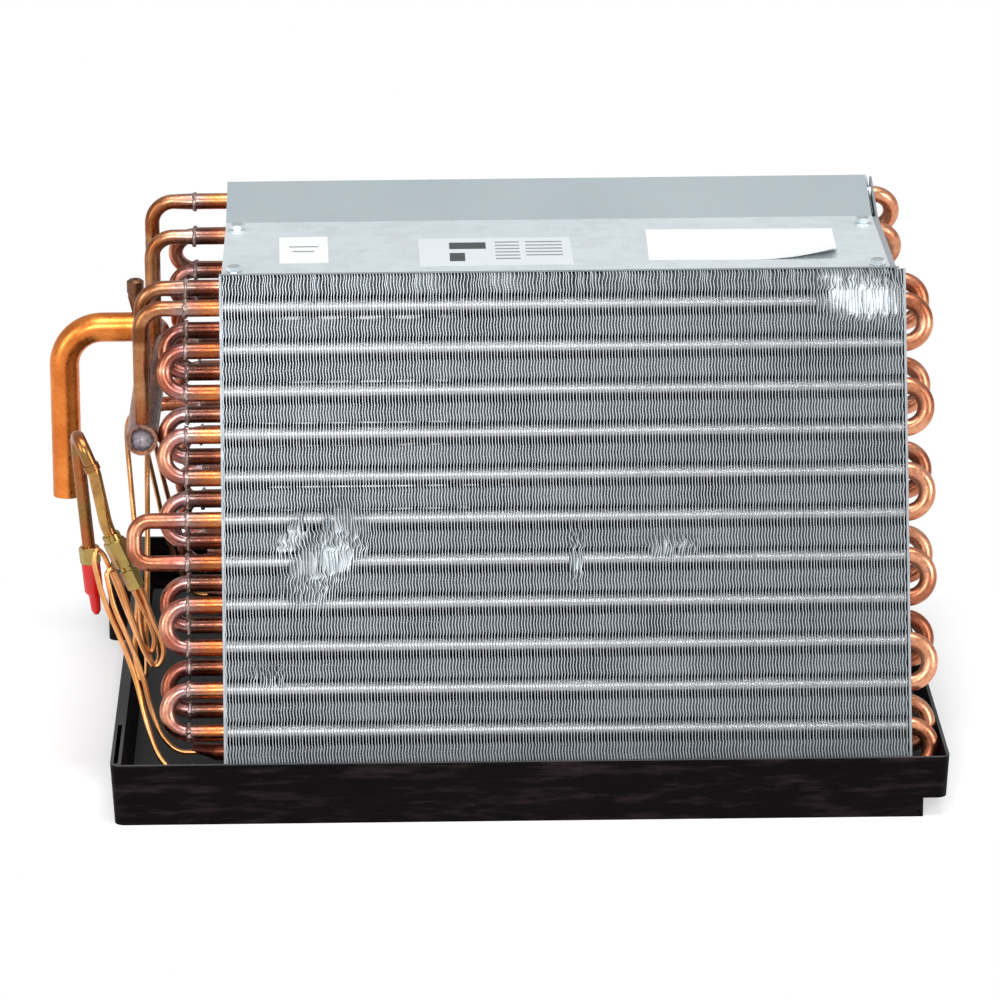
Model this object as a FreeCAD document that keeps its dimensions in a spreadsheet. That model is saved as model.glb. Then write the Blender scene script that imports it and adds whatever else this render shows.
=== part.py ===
import FreeCAD, Part
import math
import os
import Sketcher

# A-coil evaporator: two identical finned-tube slabs lean together over a moulded drain pan, under a
# folded tray cap. Millimetres, +Z up. The origin is under the middle of the whole unit, level with the
# pan's underside. X runs along the fins' width with the pipework at -X, and the slab called near stands
# on the -Y side.

V = FreeCAD.Vector
X_AXIS, Y_AXIS, Z_AXIS = V(1, 0, 0), V(0, 1, 0), V(0, 0, 1)

SIZES = [
    # slabs
    ("slab_lean", 17, "lean of each slab from upright, degrees"),
    ("finned_width", 410, "over the two end plates"),
    ("slab_left", -156.4, "left end plate's outer face along X"),
    ("cap_flat", 125, "distance between the slabs' inner top edges"),
    ("tube_pitch", 25.4, "between tubes of one row"),
    ("tubes_per_row", 12, "tubes in each of the two rows"),
    ("row_pitch", 22, "between the two rows, half the fin depth"),
    ("plate_depth", 50, "end plate, from outer to inner face"),
    ("plate_wall", 1.5, "end plate sheet"),
    ("plate_flange", 12, "end plate's inner flange"),
    ("fin_pitch", 2.25, "between fins"),
    ("fin_wall", 0.45, "fin sheet"),
    ("fin_relief", 5.2, "free depth of the fins in front of the tube collars"),
    # tubes
    ("tube_od", 10.2, "hairpin tube after expansion"),
    ("tube_wall", 0.35, "hairpin tube wall"),
    ("tube_fit", 0.05, "radial clearance of tube in fin collars and plates"),
    ("stub", 20, "hairpin ends beyond the left plate"),
    ("bend_overhang", -0.5, "start of a hairpin's turn beyond the right plate's face"),
    ("bend_wall", 0.7, "return bend wall"),
    ("bend_insert", 6, "length of a return bend inside a stub"),
    ("bend_neck", 1.2, "straight leg of a return bend outside the stub"),
    ("long_neck", 20, "straight leg of the one long return bend"),
    ("joint_fit", 0.06, "radial clearance of a brazed joint"),
    ("long_bend", 9.5, "radius of the long return bend's two corners"),
    ("braze_ring", 1.25, "height of a braze ring"),
    ("braze_width", 1.9, "width of a braze ring"),
    # pan
    ("pan_left_room", 67.1, "pan's left rim beyond the left end plates"),
    ("pan_right_room", 20.4, "pan's right rim beyond the right end plates"),
    ("pan_side_room", 17.6, "pan's long rims beyond the slabs' outer feet"),
    ("pan_height", 38, "rim above the underside"),
    ("pan_wall", 2.5, "pan walls and floor"),
    ("end_wall", 2, "pan's right wall"),
    ("pan_draft", 2, "how far the outer walls come in at the bottom"),
    ("pan_corner", 6, "radius of the pan's upright corners"),
    ("left_rim", 6.5, "thickness of the left wall at the rim"),
    ("left_foot", 9.5, "thickness of the left wall at the floor"),
    ("overhang", 15.5, "raised right end of the pan, along X"),
    ("overhang_rise", 12, "underside of the raised right end"),
    ("curb_height", 24, "curb round the air opening, above the underside"),
    ("curb_gap", 11, "curb inside the slabs' inner feet"),
    ("curb_inset", 9, "curb inside the end plates"),
    ("seat_gap", 0.3, "slab foot above the pan floor"),
    ("boss_reach", 16, "drain boss beyond the left wall"),
    ("boss_front", 116, "drain boss's front face along Y"),
    ("drain_bore", 24, "thread core of a drain port"),
    ("drain_height", 17, "drain port axis above the underside"),
    ("drain_spacing", 46, "between the two drain ports"),
    ("drain_mouth", 13, "channel from a port into the pan"),
    ("slot_length", 66, "slot in the left wall, near the front"),
    ("slot_width", 2.6, "slot in the left wall"),
    ("slot_depth", 18, "slot in the left wall"),
    ("slot_edge", 2, "slot inside the left wall's outer edge"),
    # cap and delta plates
    ("cap_sheet", 1, "cap and delta plate sheet"),
    ("cap_right_gap", 4, "cap short of the right end plate"),
    ("cap_rest", 0.2, "cap above the slab tops"),
    ("fold_radius", 1.5, "inside radius of a fold"),
    ("delta_flange", 14, "flange of a delta plate"),
    ("delta_foot", 3, "delta plate above the pan floor"),
    ("screw_head", 8, "hex screw across the flats"),
    ("screw_washer", 5.2, "radius of the screw's washer face"),
    ("screw_shank", 2, "radius of the screw's shank"),
    ("screw_inset", 7.5, "cap screw from the delta plate's face"),
    ("near_screw_edge", 6, "cap screws from the near fold"),
    ("far_screw_edge", 20, "cap screws from the far fold"),
    # suction side
    ("header_od", 19.05, "suction header and line"),
    ("header_wall", 1.1, "suction header and line wall"),
    ("header_reach", 48.1, "header axis beyond the left end plates"),
    ("header_z", 209, "header axis height"),
    ("header_front", -118, "header's closed end along Y"),
    ("header_back", 114, "header's end at the elbow"),
    ("branch_reach", 1.5, "branch tube inside the header wall"),
    ("branch_bend", 14, "branch tube bend radius"),
    ("plug_recess", 1.2, "end plug inside the header's end"),
    ("plug_sheet", 1.5, "end plug"),
    ("elbow_radius", 16, "elbow at the header's end"),
    ("suction_reach", 108.1, "down leg's axis beyond the left end plates"),
    ("suction_bend", 25, "bend into the down leg"),
    ("suction_end", 96, "open end of the down leg, height"),
    ("port_reach", 61.1, "access port axis beyond the left end plates"),
    ("port_radius", 5, "access port body"),
    ("port_height", 14.5, "access port body above the line"),
    ("port_cap", 9.6, "access port cap height"),
    # liquid side
    ("liquid_od", 7.94, "liquid tube"),
    ("liquid_wall", 0.8, "liquid tube wall"),
    ("liquid_bend", 11, "bend at the top of the liquid tube"),
    ("liquid_y", -125, "distributor and its tube along Y"),
    ("flare_reach", 82.3, "flare nut beyond the left end plates"),
    ("flare_height", 137.5, "top of the flare nut"),
    ("rear_reach", 88.4, "top of the rear leg beyond the left end plates"),
    ("front_reach", 84.2, "top of the front leg beyond the left end plates"),
    ("socket_reach", 78.6, "belled end beyond the left end plates"),
    ("socket_height", 196, "height of the belled end"),
    ("nut_reach", 67.8, "distributor nut beyond the left end plates"),
    ("nut_height", 152.3, "top of the distributor nut"),
    ("outlet_lean", 23.64, "lean of the distributor from upright, degrees"),
    ("liquid_top", 210, "top of the liquid tube's centreline"),
    ("socket_od", 9.8, "belled end of the liquid tube"),
    ("socket_length", 4, "belled end of the liquid tube"),
    ("nut_flats", 12, "distributor nut across the flats"),
    ("nut_length", 21, "distributor nut with its collar"),
    ("outlet_flats", 9.6, "distributor outlet across the flats"),
    ("outlet_length", 12.5, "distributor outlet"),
    ("neck_radius", 4, "distributor neck"),
    ("neck_length", 3.5, "distributor neck"),
    ("outlet_ring", 2.75, "capillary holes from the distributor's axis"),
    ("cap_nut_flats", 11, "flare nut across the flats"),
    ("cap_nut_length", 10.5, "flare nut"),
    ("plug_radius", 5.7, "plastic plug over the flare nut's mouth"),
    ("plug_length", 21, "plastic plug's body"),
    ("plug_tip", 12, "plastic plug's tip"),
    ("capillary_od", 3.2, "capillary tube"),
    ("capillary_wall", 0.8, "capillary tube wall"),
    ("crimp_length", 14, "crimped end of a feed tube"),
]

doc = FreeCAD.newDocument("a_coil_evaporator")
sheet = doc.addObject("Spreadsheet::Sheet", "sizes")
for row, (name, value, note) in enumerate(SIZES, start=1):
    sheet.set(f"A{row}", name)
    sheet.set(f"B{row}", str(value))
    sheet.set(f"C{row}", note)
    sheet.setAlias(f"B{row}", name)
doc.recompute()
size = {name: float(sheet.get(name)) for name, _, _ in SIZES}

# Values worked out from the driving sizes.
LEAN = math.radians(size["slab_lean"])
TUBES = int(size["tubes_per_row"])
PITCH = size["tube_pitch"]
SLAB_LENGTH = TUBES * PITCH
WIDTH = size["finned_width"]
DEPTH = size["plate_depth"]
WALL = size["plate_wall"]
FIN_DEPTH = 2 * size["row_pitch"]
TUBE_R = size["tube_od"] / 2
SEAT = size["pan_wall"] + size["seat_gap"]
FOOT_Y = size["cap_flat"] / 2 + SLAB_LENGTH * math.sin(LEAN)
TOP_Z = SEAT + SLAB_LENGTH * math.cos(LEAN)
BEND_R = TUBE_R - size["tube_wall"] - size["joint_fit"]
CAPILLARY_R = size["capillary_od"] / 2
parts = []


# ---------------------------------------------------------------- helpers
def keep(node, label):
    """Give a finished piece its name; the name is also its file's."""
    node.Label = label
    parts.append(node)
    return node


def feature(label, shape, placement=None):
    """A piece whose form is worked out with Part's own functions."""
    node = doc.addObject("Part::Feature", label)
    node.Shape = shape
    if placement is not None:
        node.Placement = placement
    return keep(node, label)


def new_body(label):
    return doc.addObject("PartDesign::Body", label)


def sketch_on(body, name, role, offset=None):
    """An empty sketch on one of the body's own origin planes, raised by a number or an expression."""
    sketch = body.newObject("Sketcher::SketchObject", name)
    plane = next(f for f in body.Origin.OriginFeatures if f.Role == role)
    sketch.AttachmentSupport = [(plane, "")]
    sketch.MapMode = "FlatFace"
    if offset is not None:
        sketch.setExpression("AttachmentOffset.Base.z", offset)
    return sketch


def bind(sketch, constraint, expression):
    """Add a constraint and bind its value to the sheet."""
    index = sketch.addConstraint(constraint)
    sketch.setExpression(f"Constraints[{index}]", expression)


def value_of(expression):
    """The number that an expression on the sheet stands for, to draw a sketch near its solution."""
    return float(sheet.evalExpression(expression))


def rectangle(sketch, left, bottom, right, top):
    """A rectangle whose four sides are expressions on the sheet."""
    x0, y0, x1, y1 = (value_of(e) for e in (left, bottom, right, top))
    corners = [V(x0, y0, 0), V(x1, y0, 0), V(x1, y1, 0), V(x0, y1, 0)]
    first = sketch.GeometryCount
    for i in range(4):
        sketch.addGeometry(Part.LineSegment(corners[i], corners[(i + 1) % 4]))
    for i in range(4):
        sketch.addConstraint(
            Sketcher.Constraint("Coincident", first + i, 2, first + (i + 1) % 4, 1)
        )
    for side, kind in ((0, "Horizontal"), (1, "Vertical"), (2, "Horizontal"), (3, "Vertical")):
        sketch.addConstraint(Sketcher.Constraint(kind, first + side))
    bind(sketch, Sketcher.Constraint("DistanceX", first, 1, x0), left)
    bind(sketch, Sketcher.Constraint("DistanceY", first, 1, y0), bottom)
    bind(sketch, Sketcher.Constraint("DistanceX", first + 1, 2, x1), right)
    bind(sketch, Sketcher.Constraint("DistanceY", first + 1, 2, y1), top)


def circle(sketch, x, y, radius):
    """A circle whose centre and radius are expressions on the sheet."""
    cx, cy, r = (value_of(e) for e in (x, y, radius))
    index = sketch.addGeometry(Part.Circle(V(cx, cy, 0), Z_AXIS, r))
    bind(sketch, Sketcher.Constraint("Radius", index, r), radius)
    bind(sketch, Sketcher.Constraint("DistanceX", index, 3, cx), x)
    bind(sketch, Sketcher.Constraint("DistanceY", index, 3, cy), y)


def pad(body, name, sketch, length, reverse=False):
    solid = body.newObject("PartDesign::Pad", name)
    solid.Profile = sketch
    solid.Reversed = reverse
    solid.setExpression("Length", length)
    return solid


def pocket(body, name, sketch, length, reverse=False):
    cut = body.newObject("PartDesign::Pocket", name)
    cut.Profile = sketch
    cut.Reversed = reverse
    cut.setExpression("Length", length)
    return cut


def repeat(body, name, original, sketch, axis, pitch, count):
    """A linear pattern with a bound pitch and count."""
    pattern = body.newObject("PartDesign::LinearPattern", name)
    pattern.Originals = [original]
    pattern.Direction = (sketch, [axis])
    pattern.setExpression("Length", f"({pitch}) * (({count}) - 1)")
    pattern.setExpression("Occurrences", count)
    body.Tip = pattern
    return pattern


def slab_placement(slab):
    """Where a slab's own frame lies: x from the left plate, y inward to +Y, z up along the slab."""
    if slab == "near":
        corner = V(
            size["slab_left"],
            -FOOT_Y - DEPTH * math.cos(LEAN),
            SEAT + DEPTH * math.sin(LEAN),
        )
        return FreeCAD.Placement(corner, FreeCAD.Rotation(X_AXIS, -size["slab_lean"]))
    corner = V(size["slab_left"], FOOT_Y, SEAT)
    return FreeCAD.Placement(corner, FreeCAD.Rotation(X_AXIS, size["slab_lean"]))


def fin_start(slab):
    """The fins are flush with the slab's outer face."""
    return 0 if slab == "near" else DEPTH - FIN_DEPTH


def tube_seat(slab, row, number):
    """A tube's axis in the slab's frame: the front row is set three quarters of a pitch down."""
    first = 0.75 if row == "front" else 0.25
    depth = 0.5 if row == "front" else 1.5
    y = fin_start(slab) + depth * size["row_pitch"]
    return V(0, y, SLAB_LENGTH - (first + number - 1) * PITCH)


def rounded_path(points, radii):
    """A wire of straight runs joined by tangent arcs; radii go with the points between the ends."""
    edges = []
    start = points[0]
    for before, corner, after, radius in zip(points, points[1:], points[2:], radii):
        u, w = (before - corner).normalize(), (after - corner).normalize()
        half = u.getAngle(w) / 2
        reach = radius / math.tan(half)
        middle = (u + w).normalize()
        a, b = corner + u * reach, corner + w * reach
        top = corner + middle * (radius / math.sin(half) - radius)
        if (a - start).Length > 1e-6:
            edges.append(Part.LineSegment(start, a).toShape())
        edges.append(Part.Arc(a, top, b).toShape())
        start = b
    if (points[-1] - start).Length > 1e-6:
        edges.append(Part.LineSegment(start, points[-1]).toShape())
    return Part.Wire(edges)


def swept(path, radius):
    """A round bar along a path."""
    edge = path.Edges[0]
    start = edge.valueAt(edge.FirstParameter)
    ring = Part.Wire(Part.Circle(start, edge.tangentAt(edge.FirstParameter), radius).toShape())
    return Part.Wire(path).makePipeShell([ring], True, False)


def bent_tube(path, outer, wall):
    """A tube along a path, with its volume compared with section times length."""
    tube = swept(path, outer).cut(swept(path, outer - wall))
    expected = math.pi * (outer**2 - (outer - wall) ** 2) * path.Length
    if abs(tube.Volume - expected) > 0.01 * expected:
        raise ValueError(f"tube volume {tube.Volume:.1f}, section times length {expected:.1f}")
    return tube


def turned(profile, base, direction):
    """A solid turned from (radius, height) points about a line."""
    points = [V(r, 0, z) for r, z in profile]
    wire = Part.makePolygon(points + [points[0]])
    solid = Part.Face(wire).revolve(V(0, 0, 0), Z_AXIS, 360)
    solid.Placement = FreeCAD.Placement(base, FreeCAD.Rotation(Z_AXIS, direction))
    return solid


def hexagon(flats, height, base, direction):
    """A hexagonal bar with its corners turned off at both ends."""
    corner = flats / math.sqrt(3)
    ring = [V(corner * math.cos(k * math.pi / 3), corner * math.sin(k * math.pi / 3), 0) for k in range(7)]
    bar = Part.Face(Part.makePolygon(ring)).extrude(V(0, 0, height))
    round_off = corner - 0.4 * (corner - flats / 2)
    chamfer = 0.12 * height
    dome = [(0, 0), (flats / 2, 0), (round_off + chamfer, chamfer), (round_off + chamfer, height - chamfer)]
    dome += [(flats / 2, height), (0, height)]
    bar = bar.common(turned(dome, V(0, 0, 0), Z_AXIS))
    bar.Placement = FreeCAD.Placement(base, FreeCAD.Rotation(Z_AXIS, direction))
    return bar


def folded_strip(points, sheet_wall, inside):
    """The section of a folded sheet: a (y, z) line with its folds rounded, thickened to its left."""
    def offset_line(distance):
        out = []
        for i, p in enumerate(points):
            before = (p - points[i - 1]).normalize() if i else None
            after = (points[i + 1] - p).normalize() if i + 1 < len(points) else None
            d0, d1 = before or after, after or before
            n0, n1 = V(0, -d0.z, d0.y), V(0, -d1.z, d1.y)
            bisector = (n0 + n1).normalize()
            out.append(p + bisector * (distance / bisector.dot(n0)))
        return out

    def turn(i):
        a, b = points[i] - points[i - 1], points[i + 1] - points[i]
        return a.cross(b).x

    lower_r = [inside + sheet_wall if turn(i) > 0 else inside for i in range(1, len(points) - 1)]
    upper_r = [inside if turn(i) > 0 else inside + sheet_wall for i in range(1, len(points) - 1)]
    lower = rounded_path(points, lower_r)
    raised = offset_line(sheet_wall)
    upper = rounded_path(raised, upper_r)
    ends = [Part.LineSegment(points[k], raised[k]).toShape() for k in (0, -1)]
    return Part.Face(Part.Wire(Part.__sortEdges__(lower.Edges + upper.Edges + ends)))


# ---------------------------------------------------------------- slabs
FIN_COUNT = (
    "floor((sizes.finned_width - 2 * sizes.plate_wall - sizes.fin_wall - 0.2) / sizes.fin_pitch)"
)
PACK_WIDTH = f"({FIN_COUNT} * sizes.fin_pitch + sizes.fin_wall)"
PACK_LEFT = f"((sizes.finned_width - {PACK_WIDTH}) / 2)"
SLAB = "(sizes.tubes_per_row * sizes.tube_pitch)"
FIN_BACK = {"near": "(2 * sizes.row_pitch)", "far": "sizes.plate_depth"}
FIN_FRONT = {"near": "0", "far": "(sizes.plate_depth - 2 * sizes.row_pitch)"}
ROW_Y = {"front": "+ 0.5 * sizes.row_pitch", "back": "+ 1.5 * sizes.row_pitch"}
LOWEST = {"front": "0.25 * sizes.tube_pitch", "back": "0.75 * sizes.tube_pitch"}


def bore_rows(body, slab, radius, length, offset=None):
    """Two rows of tube holes along X, each made at its lowest tube and repeated up the slab."""
    for row in ("front", "back"):
        sketch = sketch_on(body, f"{row}_hole", "YZ_Plane", offset)
        circle(sketch, f"{FIN_FRONT[slab]} {ROW_Y[row]}", LOWEST[row], radius)
        hole = pocket(body, f"{row}_holes", sketch, length, reverse=True)
        doc.recompute()
        repeat(body, f"{row}_row", hole, sketch, "V_Axis", "sizes.tube_pitch", "sizes.tubes_per_row")


def fin_pack(slab):
    """Fins standing free on both faces of the pack, with the tube collars between them."""
    body = new_body(f"{slab}_fin_pack")
    block = sketch_on(body, "block", "XY_Plane")
    rectangle(block, PACK_LEFT, FIN_FRONT[slab], f"{PACK_LEFT} + {PACK_WIDTH}", FIN_BACK[slab])
    pad(body, "pack", block, SLAB)
    bore_rows(body, slab, "sizes.tube_od / 2 + sizes.tube_fit", "sizes.finned_width + 10")
    slots = sketch_on(body, "slots", "XY_Plane")
    first, last = f"{PACK_LEFT} + sizes.fin_wall", f"{PACK_LEFT} + sizes.fin_pitch"
    front, back = FIN_FRONT[slab], FIN_BACK[slab]
    rectangle(slots, first, f"{front} - 1", last, f"{front} + sizes.fin_relief")
    rectangle(slots, first, f"{back} - sizes.fin_relief", last, f"{back} + 1")
    gap = pocket(body, "gap", slots, SLAB, reverse=True)
    doc.recompute()
    repeat(body, "gaps", gap, slots, "H_Axis", "sizes.fin_pitch", FIN_COUNT)
    body.Placement = slab_placement(slab)
    keep(body, f"{slab}_fin_pack")


def end_plate(slab, side):
    """A tube sheet: a flat plate with a flange turned in behind the fins' inner face."""
    body = new_body(f"{slab}_{side}_end_plate")
    left = side == "left"
    offset = None if left else "sizes.finned_width - sizes.plate_wall"
    web = sketch_on(body, "web", "YZ_Plane", offset)
    rectangle(web, "0", "0", "sizes.plate_depth", SLAB)
    pad(body, "sheet", web, "sizes.plate_wall")
    flange = sketch_on(body, "flange", "XY_Plane")
    x0, x1 = ("0", "sizes.plate_flange") if left else (
        "sizes.finned_width - sizes.plate_flange",
        "sizes.finned_width",
    )
    y0, y1 = ("sizes.plate_depth - sizes.plate_wall", "sizes.plate_depth")
    if slab == "far":
        y0, y1 = "0", "sizes.plate_wall"
    rectangle(flange, x0, y0, x1, y1)
    pad(body, "inner_flange", flange, SLAB)
    bore_rows(body, slab, "sizes.tube_od / 2 + sizes.tube_fit", "sizes.plate_wall", offset)
    body.Placement = slab_placement(slab)
    keep(body, f"{slab}_{side}_end_plate")


def u_sketch(body, upper_end, lower_end):
    """The centreline of a hairpin: two legs along X joined by a half turn at the right."""
    sketch = sketch_on(body, "centreline", "XZ_Plane")
    turn, half = "sizes.finned_width + sizes.bend_overhang", "sizes.tube_pitch / 2"
    tx, hz, ux, lx = (value_of(e) for e in (turn, half, upper_end, lower_end))
    sketch.addGeometry(Part.LineSegment(V(ux, hz, 0), V(tx, hz, 0)))
    arc = Part.ArcOfCircle(Part.Circle(V(tx, 0, 0), Z_AXIS, hz), -math.pi / 2, math.pi / 2)
    sketch.addGeometry(arc)
    sketch.addGeometry(Part.LineSegment(V(tx, -hz, 0), V(lx, -hz, 0)))
    sketch.addConstraint(Sketcher.Constraint("Coincident", 0, 2, 1, 2))
    sketch.addConstraint(Sketcher.Constraint("Coincident", 1, 1, 2, 1))
    sketch.addConstraint(Sketcher.Constraint("Horizontal", 0))
    sketch.addConstraint(Sketcher.Constraint("Horizontal", 2))
    bind(sketch, Sketcher.Constraint("DistanceX", 0, 1, ux), upper_end)
    bind(sketch, Sketcher.Constraint("DistanceY", 0, 1, hz), half)
    bind(sketch, Sketcher.Constraint("DistanceX", 0, 2, tx), turn)
    bind(sketch, Sketcher.Constraint("DistanceX", 1, 3, tx), turn)
    bind(sketch, Sketcher.Constraint("DistanceY", 1, 3, 0), "0")
    bind(sketch, Sketcher.Constraint("DistanceX", 2, 1, tx), turn)
    bind(sketch, Sketcher.Constraint("DistanceX", 2, 2, lx), lower_end)
    return sketch


def hairpin(slab, row, number):
    """One hairpin tube, pushed in from the right; the lowest one has its feed end crimped."""
    label = f"{slab}_{row}_hairpin_{number}"
    crimped = 2 * number == TUBES
    body = new_body(label)
    ring = sketch_on(body, "section", "YZ_Plane", "-sizes.stub")
    circle(ring, "0", "sizes.tube_pitch / 2", "sizes.tube_od / 2")
    circle(ring, "0", "sizes.tube_pitch / 2", "sizes.tube_od / 2 - sizes.tube_wall")
    lower_end = "-sizes.stub + sizes.crimp_length" if crimped else "-sizes.stub"
    line = u_sketch(body, "-sizes.stub", lower_end)
    tube = body.newObject("PartDesign::AdditivePipe", "tube")
    tube.Profile = ring
    tube.Spine = (line, ["Edge1", "Edge2", "Edge3"])
    if crimped:
        crimp(body)
    upper, lower = tube_seat(slab, row, 2 * number - 1), tube_seat(slab, row, 2 * number)
    middle = FreeCAD.Placement((upper + lower) * 0.5, FreeCAD.Rotation())
    body.Placement = slab_placement(slab).multiply(middle)
    keep(body, label)


def crimp(body):
    """The tube's end squeezed flat round the capillary that feeds it."""
    inner = sketch_on(body, "round_end", "YZ_Plane", "-sizes.stub + sizes.crimp_length")
    circle(inner, "0", "-sizes.tube_pitch / 2", "sizes.tube_od / 2")
    outer = sketch_on(body, "flat_end", "YZ_Plane", "-sizes.stub")
    low = -PITCH / 2
    flat = Part.Ellipse(V(0, low, 0), 1.25 * TUBE_R, 0.5 * TUBE_R)
    flat.rotate(FreeCAD.Placement(V(0, 0, 0), FreeCAD.Rotation(Z_AXIS, 25), V(0, low, 0)))
    outer.addGeometry(flat)
    loft = body.newObject("PartDesign::AdditiveLoft", "squeezed")
    loft.Profile = inner
    loft.Sections = [outer]
    mouth = sketch_on(body, "mouth", "YZ_Plane", "-sizes.stub")
    circle(mouth, "0", "-sizes.tube_pitch / 2", "sizes.capillary_od / 2 + sizes.joint_fit")
    doc.recompute()
    pocket(body, "feed_hole", mouth, "sizes.crimp_length", reverse=True)


def return_bends(slab, row):
    """The row's five return bends, each with a braze fillet where it enters the stubs."""
    bends = []
    stub, insert = size["stub"], size["bend_insert"]
    for number in range(2, TUBES, 2):
        upper, lower = tube_seat(slab, row, number), tube_seat(slab, row, number + 1)
        long_one = row == "front" and number == TUBES // 2
        neck, radius = size["bend_neck"], PITCH / 2
        if long_one:
            neck, radius = size["long_neck"], size["long_bend"]
        inside, corner = V(insert - stub, 0, 0), V(-stub - neck - PITCH / 2, 0, 0)
        path = rounded_path([upper + inside, upper + corner, lower + corner, lower + inside], [radius, radius])
        bend = bent_tube(path, BEND_R, size["bend_wall"])
        for seat in (upper, lower):
            bend = bend.fuse(braze(seat - V(stub, 0, 0), V(-1, 0, 0), BEND_R))
        bends.append(bend)
    feature(f"{slab}_{row}_return_bends", Part.makeCompound(bends), slab_placement(slab))


def braze(base, direction, tube_radius):
    """A ring of braze alloy against a stub's end face."""
    inner, outer, width = tube_radius - 0.05, tube_radius + size["braze_ring"], size["braze_width"]
    profile = [
        (inner, 0), (outer - 0.25, 0), (outer, 0.3 * width), (outer - 0.3, 0.75 * width), (tube_radius + 0.15, width),
        (inner, width),
    ]
    return turned(profile, base, direction)


for slab in ("near", "far"):
    fin_pack(slab)
    for side in ("left", "right"):
        end_plate(slab, side)
    for row in ("front", "back"):
        for number in range(1, TUBES // 2 + 1):
            hairpin(slab, row, number)
        return_bends(slab, row)


# ---------------------------------------------------------------- drain pan
def inside_foot(gap, sign="-"):
    """Half the distance between the slabs' inner feet, less or plus a gap."""
    return (
        "(sizes.cap_flat / 2 + sizes.tubes_per_row * sizes.tube_pitch * sin(sizes.slab_lean * 1 deg)"
        f" {sign} {gap})"
    )


def drafted_block(body, name, kind, base, low, top, high):
    """A loft between two rectangles at two heights, added or cut out."""
    lower = sketch_on(body, f"{name}_low", "XY_Plane", low)
    rectangle(lower, *base)
    upper = sketch_on(body, f"{name}_high", "XY_Plane", high)
    rectangle(upper, *top)
    loft = body.newObject(f"PartDesign::{kind}Loft", name)
    loft.Profile = lower
    loft.Sections = [upper]
    loft.Ruled = True
    doc.recompute()
    return loft


def near_edges(solid, wanted):
    """The names of a solid's edges whose middle is close to one of the wanted points."""
    names = []
    for index, edge in enumerate(solid.Shape.Edges, start=1):
        middle = edge.valueAt((edge.FirstParameter + edge.LastParameter) / 2)
        if any((middle - point).Length < 2.5 for point in wanted):
            names.append(f"Edge{index}")
    return names


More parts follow.
